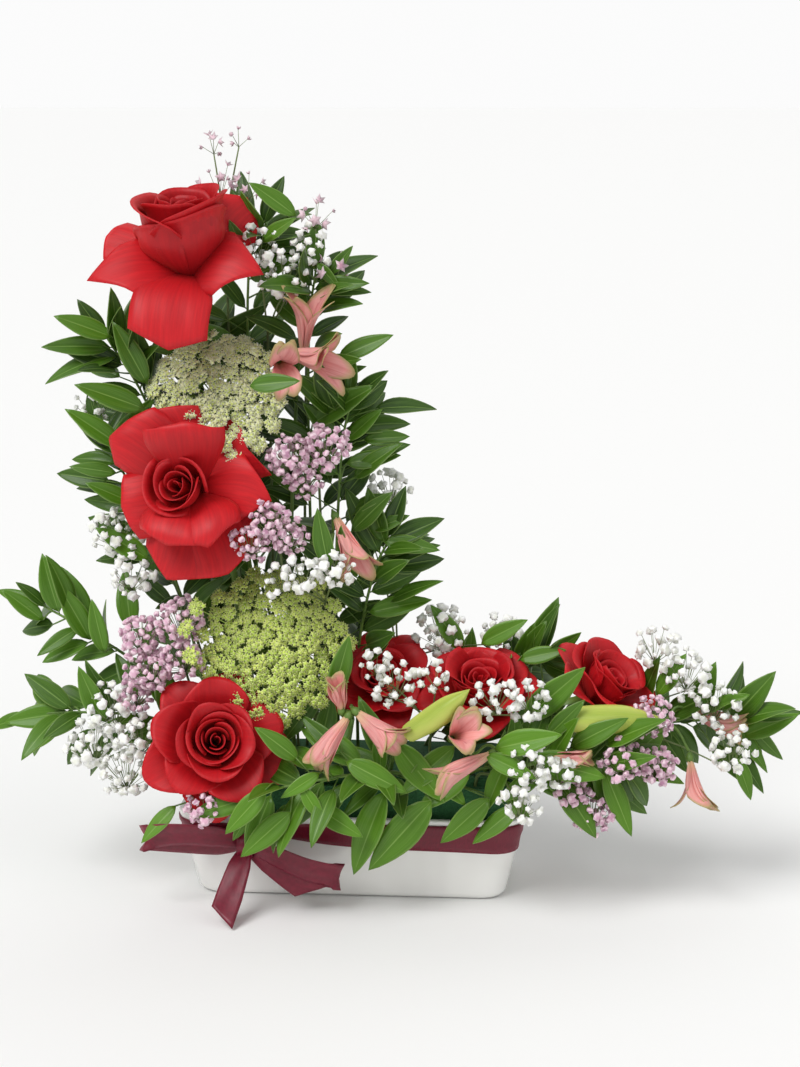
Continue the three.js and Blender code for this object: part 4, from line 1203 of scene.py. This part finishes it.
# Statice: a crisp papery calyx, mauve-pink with a whitish eye.
statice_paper = simple_material(
    "papery_statice_calyx", "B4829E", "E6B8CC", "F6DDE6", Roughness=0.8
)
STATICES = [
    Spray("statice_upper", [(-24, -8, 300), (-22, 4, 200), (-22, 6, 92)],
          [((-40, -42, 322), 15), ((-16, -38, 328), 15), ((-30, -38, 306), 12)]),
    Spray("statice_middle", [(-50, -30, 258), (-44, -14, 180), (-40, -10, 92)],
          [((-52, -62, 280), 13), ((-66, -62, 266), 12), ((-40, -58, 268), 12)]),
    Spray("statice_left", [(-120, -20, 160), (-110, -14, 120), (-102, -12, 92)],
          [((-148, -42, 192), 15), ((-120, -44, 206), 15), ((-140, -52, 170), 15),
           ((-116, -50, 180), 13), ((-152, -46, 150), 11)]),
    Spray("statice_arm", [(168, -36, 112), (136, -28, 104), (108, -18, 92)],
          [((212, -52, 143), 14), ((192, -68, 116), 14), ((216, -64, 112), 12)]),
    Spray("statice_low", [(150, -30, 88), (134, -26, 92), (112, -30, 92)],
          [((172, -58, 75), 14), ((158, -66, 92), 10)]),
    Spray("statice_rim_left", [(-84, -50, 98), (-78, -44, 96), (-72, -38, 92)],
          [((-98, -90, 84), 11)]),
]
def ruffled_ball(radius, seed):
    """A tiny double flower: an icosphere whose faces are pushed in and out like petals."""
    bpy.ops.mesh.primitive_ico_sphere_add(subdivisions=2, radius=1)
    ball = taken(bpy.context.object)
    chance = random.Random(seed)
    depth = np.array([chance.choice((0.62, 0.8, 1.05, 1.2)) for _ in ball.points])
    points = ball.points * depth[:, None] * radius
    points[:, 2] = points[:, 2] * 0.8 + 0.7 * radius
    uv = np.column_stack([np.zeros(len(points)), np.clip((depth - 0.6) / 0.6, 0, 1)])
    return Shape(points, ball.faces, uv)


# A statice floret is a crumpled paper cup some 5 mm across.
statice_flower = [ruffled_ball(r, 20 + k) for k, r in enumerate((2.7, 3.1, 2.3))]
for number, spray in enumerate(STATICES):
    filler(spray, statice_flower, 46, twig_green, statice_paper, 100 + number)

# Baby's breath: tiny double flowers of thin white petals, with painted shade: greyer at the
# sunken points where they overlap, and white on the raised ones.
gyps_petal = simple_material(
    "white_gypsophila_petal", "E4E6D8", "F6F6EE", "FFFFFF", Roughness=0.7
)
GYPSOPHILAS = [
    Spray("gypsophila_left", [(-130, -24, 110), (-116, -20, 104), (-106, -22, 92)],
          [((-168, -46, 140), 18), ((-184, -44, 112), 18), ((-160, -52, 96), 18),
           ((-148, -56, 122), 16)]),
    Spray("gypsophila_centre", [(-18, -30, 216), (-20, -16, 150), (-20, -12, 92)],
          [((-30, -66, 244), 13), ((-8, -62, 246), 13), ((-46, -64, 240), 10)]),
    Spray("gypsophila_front", [(58, -34, 128), (56, -26, 108), (58, -20, 92)],
          [((34, -62, 166), 14), ((20, -60, 180), 10), ((62, -66, 172), 10),
           ((104, -76, 162), 14), ((128, -70, 158), 13)]),
    Spray("gypsophila_rim", [(108, -58, 100), (100, -50, 98), (90, -42, 92)],
          [((128, -94, 118), 14), ((122, -96, 92), 13), ((148, -84, 112), 11)]),
    Spray("gypsophila_arm", [(190, 4, 118), (150, 8, 110), (116, 20, 92)],
          [((216, -12, 182), 14), ((238, -20, 166), 16), ((258, -28, 146), 15),
           ((268, -44, 116), 16)]),
    Spray("gypsophila_top", [(-62, 14, 400), (-62, 26, 260), (-62, 24, 92)],
          [((-66, -2, 462), 14), ((-48, -6, 444), 16), ((-30, 0, 462), 13)]),
    Spray("gypsophila_far_left", [(-140, 8, 240), (-114, 20, 160), (-100, 22, 92)],
          [((-166, -16, 262), 18), ((-158, -26, 232), 14), ((-186, 2, 348), 12),
           ((-158, 0, 316), 10)]),
    Spray("gypsophila_back", [(30, 20, 160), (32, 22, 130), (34, 22, 92)],
          [((62, 12, 186), 17), ((104, 20, 184), 12), ((26, 10, 290), 14), ((16, 8, 262), 10)]),
]
gyps_flower = [ruffled_ball(r, k) for k, r in enumerate((3.2, 3.8, 2.6))]
for number, spray in enumerate(GYPSOPHILAS):
    filler(spray, gyps_flower, 22, twig_green, gyps_petal, 130 + number,
           sizes=(0.7, 1.2))

# Wax flower: five stiff, shiny, pale pink petals round a darker cup.
wax_petal = simple_material(
    "waxy_pink_petal", "B8869A", "EBCBD5", "F7E6EA", Roughness=0.4, Coat_Weight=0.2
)
WAXFLOWERS = [
    Spray("waxflower_top", [(-92, 18, 470), (-90, 34, 300), (-84, 36, 92)],
          [((-98, 10, 534), 9), ((-80, 8, 538), 8), ((-94, 8, 506), 13), ((-74, 6, 504), 11)]),
    Spray("waxflower_side", [(-34, 18, 422), (-38, 26, 280), (-38, 26, 92)],
          [((-26, -2, 486), 12), ((-12, -2, 448), 11), ((-40, 8, 426), 9)]),
]
wax_flower = [five_lobed(5.0, 2.4, 0.55), five_lobed(3.8, 2.8, 0.55), five_lobed(1.8, 2.4, 0.9)]
for number, spray in enumerate(WAXFLOWERS):
    filler(spray, wax_flower, 11, twig_green, wax_petal, 160 + number)

# ---- Ruscus ----------------------------------------------------------------------------------
# Soft ruscus: arching green stems with stiff, pointed, glossy leaves in two uneven ranks. They
# make the outline of the L, hide the foam and fill the dark behind the flowers.

Branch = namedtuple("Branch", "name leaves size bare spin tone route")
# tone sets how light each branch's leaves are: low for branches at the back and deep inside, high for
# those at the front and ends, as painted shade and light.
BRANCHES = [
    Branch("ruscus_left_high", 34, 50, 0.15, 10, 0.22,
           [(-176, 6, 398), (-150, 14, 350), (-122, 26, 260), (-96, 34, 92)]),
    Branch("ruscus_left_mid", 36, 48, 0.1, -20, 0.25,
           [(-178, -4, 330), (-156, 2, 280), (-128, 10, 210), (-102, 6, 92)]),
    Branch("ruscus_top", 40, 46, 0.1, 25, 0.25,
           [(-62, 12, 478), (-76, 20, 440), (-78, 36, 300), (-70, 38, 92)]),
    Branch("ruscus_right_high", 40, 44, 0.1, 0, 0.18,
           [(-26, 0, 446), (-32, 8, 400), (-34, 22, 280), (-30, 30, 92)]),
    Branch("ruscus_right_mid", 42, 44, 0.05, 15, 0.15,
           [(0, -6, 360), (-8, -4, 320), (-14, 8, 220), (-14, 22, 92)]),
    Branch("ruscus_right_low", 34, 48, 0.05, -10, 0.2,
           [(26, -8, 258), (14, -4, 230), (2, 8, 170), (0, 24, 92)]),
    Branch("ruscus_back", 60, 54, 0.05, 40, 0.08,
           [(-108, 34, 400), (-104, 44, 320), (-66, 48, 180), (-50, 38, 92)]),
    Branch("ruscus_far_left", 16, 46, 0.2, 0, 0.4,
           [(-230, 0, 204), (-196, -4, 186), (-150, 4, 150), (-104, 0, 92)]),
    Branch("ruscus_low_left", 20, 46, 0.15, 20, 0.45,
           [(-232, -26, 128), (-196, -28, 131), (-146, -24, 127), (-118, -31, 113),
            (-106, -34, 92)]),
    Branch("ruscus_arm_back", 36, 52, 0.05, 30, 0.3,
           [(140, 20, 165), (112, 28, 146), (76, 34, 120), (50, 32, 92)]),
    Branch("ruscus_arm_end", 34, 46, 0.1, -5, 0.4,
           [(286, -6, 128), (240, 2, 124), (172, 14, 112), (112, 30, 92)]),
    Branch("ruscus_arm_front", 30, 50, 0.05, 10, 0.45,
           [(196, -58, 106), (168, -56, 112), (130, -52, 108), (84, -34, 92)]),
    Branch("ruscus_skirt", 26, 48, 0.02, 60, 0.45,
           [(-66, -88, 92), (-30, -84, 100), (12, -72, 104), (40, -42, 92)]),
]
# Leaves that make the outline or hang over the rim, listed one by one: branch, foot and tip.
OUTLINE_LEAVES = [
    ("ruscus_left_high", (-170, -6, 400), (-208, -16, 416)),
    ("ruscus_left_high", (-144, -14, 368), (-166, -20, 412)),
    ("ruscus_left_high", (-144, -26, 352), (-188, -44, 372)),
    ("ruscus_left_mid", (-162, -20, 324), (-200, -26, 352)),
    ("ruscus_left_mid", (-168, -14, 304), (-200, -20, 310)),
    ("ruscus_left_mid", (-156, -20, 284), (-186, -30, 300)),
    ("ruscus_left_mid", (-144, -24, 244), (-180, -30, 268)),
    ("ruscus_far_left", (-192, -8, 180), (-212, -14, 222)),
    ("ruscus_far_left", (-228, 0, 192), (-256, -6, 216)),
    ("ruscus_far_left", (-180, -14, 172), (-188, -20, 212)),
    ("ruscus_low_left", (-176, -40, 128), (-192, -50, 170)),
    ("ruscus_low_left", (-206, -26, 130), (-252, -32, 124)),
    ("ruscus_low_left", (-210, -26, 124), (-238, -30, 100)),
    ("ruscus_top", (-40, 4, 484), (-70, -6, 508)),
    ("ruscus_top", (-64, 2, 466), (-40, -6, 484)),
    ("ruscus_right_high", (-16, 0, 444), (0, -4, 464)),
    ("ruscus_right_high", (-24, -4, 452), (-8, -10, 434)),
    ("ruscus_right_high", (-10, -4, 386), (28, -8, 404)),
    ("ruscus_right_high", (-28, -10, 340), (16, -20, 370)),
    ("ruscus_right_high", (-64, -64, 374), (-30, -74, 380)),
    ("ruscus_right_mid", (-4, -6, 328), (20, -12, 352)),
    ("ruscus_right_mid", (8, -4, 328), (40, -6, 332)),
    ("ruscus_right_mid", (-4, -10, 312), (34, -14, 320)),
    ("ruscus_right_mid", (0, -12, 264), (28, -20, 294)),
    ("ruscus_right_mid", (14, -8, 264), (40, -12, 276)),
    ("ruscus_right_mid", (22, -8, 256), (62, -14, 252)),
    ("ruscus_right_mid", (-12, -60, 248), (-20, -66, 290)),
    ("ruscus_right_low", (12, -10, 204), (56, -14, 216)),
    ("ruscus_right_low", (-8, -76, 164), (4, -80, 204)),
    ("ruscus_right_low", (-22, -36, 150), (-48, -50, 118)),
    ("ruscus_right_low", (-14, -34, 146), (-22, -52, 106)),
    ("ruscus_right_low", (-44, -34, 130), (-58, -56, 100)),
    ("ruscus_right_low", (0, -30, 130), (-30, -56, 100)),
    ("ruscus_arm_back", (78, 4, 174), (56, -2, 208)),
    ("ruscus_arm_back", (92, 0, 180), (124, -8, 200)),
    ("ruscus_arm_back", (120, -6, 170), (152, -12, 180)),
    ("ruscus_arm_back", (124, -52, 140), (164, -62, 180)),
    ("ruscus_arm_back", (140, -66, 132), (164, -72, 160)),
    ("ruscus_arm_front", (104, -84, 128), (148, -98, 144)),
    ("ruscus_arm_front", (98, -86, 124), (132, -98, 112)),
    ("ruscus_arm_front", (128, -72, 118), (180, -80, 108)),
    ("ruscus_arm_end", (218, -14, 148), (236, -20, 180)),
    ("ruscus_arm_end", (256, -16, 140), (282, -22, 152)),
    ("ruscus_arm_end", (280, -6, 116), (318, -14, 136)),
    ("ruscus_arm_end", (274, -26, 106), (286, -30, 76)),
    ("ruscus_skirt", (28, -80, 94), (4, -86, 34)),
    ("ruscus_skirt", (60, -80, 88), (16, -88, 38)),
    ("ruscus_skirt", (-20, -90, 86), (14, -100, 68)),
    ("ruscus_skirt", (2, -88, 118), (44, -98, 100)),
    ("ruscus_skirt", (100, -72, 88), (66, -78, 56)),
    ("ruscus_skirt", (120, -70, 82), (88, -76, 56)),
    ("ruscus_skirt", (-16, -96, 112), (-42, -104, 96)),
    ("ruscus_skirt", (-120, -74, 78), (-144, -84, 54)),
    ("ruscus_skirt", (-52, -104, 102), (-80, -112, 72)),
    ("ruscus_skirt", (-36, -98, 84), (-70, -108, 54)),
    ("ruscus_skirt", (-28, -98, 102), (-12, -106, 80)),
    ("ruscus_skirt", (75, -62, 122), (38, -80, 92)),
    ("ruscus_skirt", (34, -64, 124), (68, -82, 88)),
    ("ruscus_skirt", (86, -64, 106), (50, -80, 80)),
    ("ruscus_skirt", (52, -60, 112), (84, -76, 84)),
    ("ruscus_arm_front", (136, -60, 104), (106, -74, 86)),
    ("ruscus_arm_front", (112, -58, 112), (96, -72, 78)),
]
BACK_LIMIT = 88  # no leaf tip reaches further back than this
LINE_STEPS = 60
# Ruscus leaf: leathery and glossy on top, dark green with paler parallel veins, and a lighter
# edge where the blade is thin.
leaf_skin, leaf_shader = principled("glossy_ruscus_leaf", Roughness=0.42, IOR=1.4)
leaf_shader.inputs["Coat Weight"].default_value = 0.06
place = add_node(leaf_skin, "ShaderNodeUVMap", {}, uv_map="along")
halves = add_node(leaf_skin, "ShaderNodeSeparateXYZ", {"Vector": place.outputs["UV"]})
tone = add_node(leaf_skin, "ShaderNodeAttribute", {}, attribute_name="tone")
# Painted shade and light: each leaf's tone picks its green between dark and light, and the tones are set
# low at the back and high at the front.
blade = add_node(
    leaf_skin, "ShaderNodeMix",
    {"Factor": tone.outputs["Fac"], "A": linear("1D3A06"), "B": linear("5E9018")},
    data_type="RGBA",
)
stretch = add_node(
    leaf_skin, "ShaderNodeMapping", {"Vector": place.outputs["UV"], "Scale": (24.0, 1.2, 1.0)}
)
veins = add_node(
    leaf_skin, "ShaderNodeTexNoise",
    {"Vector": stretch.outputs["Vector"], "Scale": 1.0, "Detail": 3.0},
)
off_middle = add_node(
    leaf_skin, "ShaderNodeMath", {0: halves.outputs["X"], 1: 0.5}, operation="SUBTRACT"
)
from_middle = add_node(
    leaf_skin, "ShaderNodeMath", {0: off_middle.outputs["Value"]}, operation="ABSOLUTE"
)
midrib = add_node(
    leaf_skin, "ShaderNodeMapRange",
    {"Value": from_middle.outputs["Value"], "From Min": 0.035, "From Max": 0.0, "To Max": 0.5},
)
edge = add_node(
    leaf_skin, "ShaderNodeMapRange",
    {"Value": from_middle.outputs["Value"], "From Min": 0.44, "From Max": 0.5, "To Max": 0.45},
)
vein_share = add_node(
    leaf_skin, "ShaderNodeMapRange",
    {"Value": veins.outputs["Fac"], "From Min": 0.45, "From Max": 0.75, "To Max": 0.3},
)
veined = add_node(
    leaf_skin, "ShaderNodeMix",
    {"Factor": vein_share.outputs["Result"], "A": blade.outputs["Result"], "B": linear("7FA548")},
    data_type="RGBA",
)
ribbed = add_node(
    leaf_skin, "ShaderNodeMix",
    {"Factor": midrib.outputs["Result"], "A": veined.outputs["Result"], "B": linear("93B45C")},
    data_type="RGBA",
)
edged = add_node(
    leaf_skin, "ShaderNodeMix",
    {"Factor": edge.outputs["Result"], "A": ribbed.outputs["Result"], "B": linear("9CB866")},
    data_type="RGBA",
)
rib_bump = add_node(
    leaf_skin, "ShaderNodeBump",
    {"Height": veins.outputs["Fac"], "Strength": 0.3, "Distance": 0.3 * MM},
)
leaf_skin.node_tree.links.new(edged.outputs["Result"], leaf_shader.inputs["Base Color"])
leaf_skin.node_tree.links.new(rib_bump.outputs["Normal"], leaf_shader.inputs["Normal"])

leaf_sheet = made_grid(6, 10)


def leaf_blade(length, width, droop, fold, twist):
    """A pointed leaf on +Z with its upper face towards +Y: it droops back from the light."""
    u, v = leaf_sheet.points[:, 0], leaf_sheet.points[:, 1]
    half = width / 2 * (0.05 + 0.95 * np.sin(math.pi * v**0.82) ** 0.85) * (1 - 0.15 * v)
    half = np.where(v > 0.995, 0.12, np.maximum(half, 0.5))
    across, lift = u * half * math.cos(fold), np.abs(u) * half * math.sin(fold)
    angle = twist * v
    x = across * np.cos(angle) - lift * np.sin(angle)
    y = across * np.sin(angle) + lift * np.cos(angle)
    bend = droop * v
    z = length * np.where(abs(droop) > 0.01, np.sin(bend) / (droop + 1e-9), v)
    y = y - length * (1 - np.cos(bend)) / (droop + 1e-9)
    return Shape(np.column_stack([x, y, z]), leaf_sheet.faces, leaf_sheet.uv)


def aimed(shape, at, direction, look):
    """A Shape with its +Z along a direction and its +Y turned as near as can be to look."""
    z = np.asarray(direction, float)
    z /= np.linalg.norm(z)
    x = np.cross(look, z)
    x /= np.linalg.norm(x)
    turn = np.column_stack([x, np.cross(z, x), z])
    return shape._replace(points=shape.points @ turn.T + np.asarray(at, float))


# Leaves keep out of the blooms: a leaf whose middle would lie in one of these is left off.
BLOOM_ROOM = [(rose.at, 0.72 * rose.reach) for rose in ROSES]
BLOOM_ROOM += [(lace.at, 0.6 * lace.radius) for lace in LACES]


def in_bloom(point):
    return any(np.linalg.norm(point - np.asarray(at)) < room for at, room in BLOOM_ROOM)


for number, branch in enumerate(BRANCHES):
    chance = random.Random(200 + number)
    line = smooth_line(branch.route, LINE_STEPS)
    stems = [tube(down_to_foam(branch.route), 0.8, 1.6, steps=24, sides=6)]
    leaves, tones = [], []
    for i in range(branch.leaves):
        t = (i + 0.1) / branch.leaves * (1 - branch.bare)
        k = min(LINE_STEPS - 1, int(t * LINE_STEPS))
        at = line[k] + (line[k + 1] - line[k]) * (t * LINE_STEPS - k)
        tangent = line[k] - line[k + 1]
        tangent /= np.linalg.norm(tangent)
        across = np.cross(tangent, (0, 1, 0))
        across /= np.linalg.norm(across)
        depth = np.cross(tangent, across)
        turn = math.radians(branch.spin + 180 * (i % 2) + chance.uniform(-60, 60))
        lean = math.radians(chance.uniform(36, 70)) if i else 0.1
        out = across * math.cos(turn) + depth * math.sin(turn)
        shoot = (tangent * 0.6 + out) * (chance.uniform(2, 18) if i % 3 and t > 0.15 else 2)
        direction = tangent * math.cos(lean) + out * math.sin(lean)
        length = branch.size * chance.uniform(0.75, 1.1) * (0.8 if i < 2 else 1)
        tip = at + shoot + direction * length
        if in_bloom(at + shoot + direction * length * 0.6) or tip[1] > BACK_LIMIT:
            continue
        look = np.array([chance.uniform(-0.5, 0.5), -0.75, 0.55 + chance.uniform(-0.4, 0.4)])
        blade_shape = leaf_blade(length, length * chance.uniform(0.32, 0.44),
                                 chance.uniform(0.1, 0.7), chance.uniform(0.1, 0.4),
                                 chance.uniform(-0.5, 0.5))
        leaves.append(aimed(blade_shape, at + shoot, direction, look))
        tones.append(min(1, max(0, branch.tone + chance.uniform(-0.2, 0.25))))
        stems.append(tube([tuple(at), tuple(at + shoot), tuple(at + shoot + direction * 2)],
                          0.7, 0.5, steps=3, sides=4))
    for name, foot, tip in OUTLINE_LEAVES:
        if name != branch.name:
            continue
        foot, tip = np.asarray(foot, float), np.asarray(tip, float)
        length = np.linalg.norm(tip - foot)
        nearest = int(np.argmin(np.linalg.norm(line - foot, axis=1)))
        start = line[min(LINE_STEPS, nearest + 4)]
        look = (chance.uniform(-0.4, 0.4), -0.85, 0.45)
        blade_shape = leaf_blade(length, length * chance.uniform(0.36, 0.42), 0.15,
                                 chance.uniform(0.15, 0.35), chance.uniform(-0.2, 0.2))
        leaves.append(aimed(blade_shape, foot, tip - foot, look))
        # Outline leaves are made lighter than their branch: painted light on the outside of the
        # arrangement.
        tones.append(branch.tone + chance.uniform(0.15, 0.4))
        bend = (start + foot) / 2 + (0, 3, 3)
        stems.append(tube([tuple(start), tuple(bend), tuple(foot)], 0.8, 0.6, steps=6, sides=5))
    foliage = made_piece(f"{branch.name}_leaves", leaves, tones)
    modified(foliage, "SOLIDIFY", thickness=0.45 * MM, offset=0)
    finish_piece(foliage, f"{branch.name}_leaves", leaf_skin, [branch.name])
    stalk = made_piece(f"{branch.name}_stem", stems)
    finish_piece(stalk, f"{branch.name}_stem", stem_green)
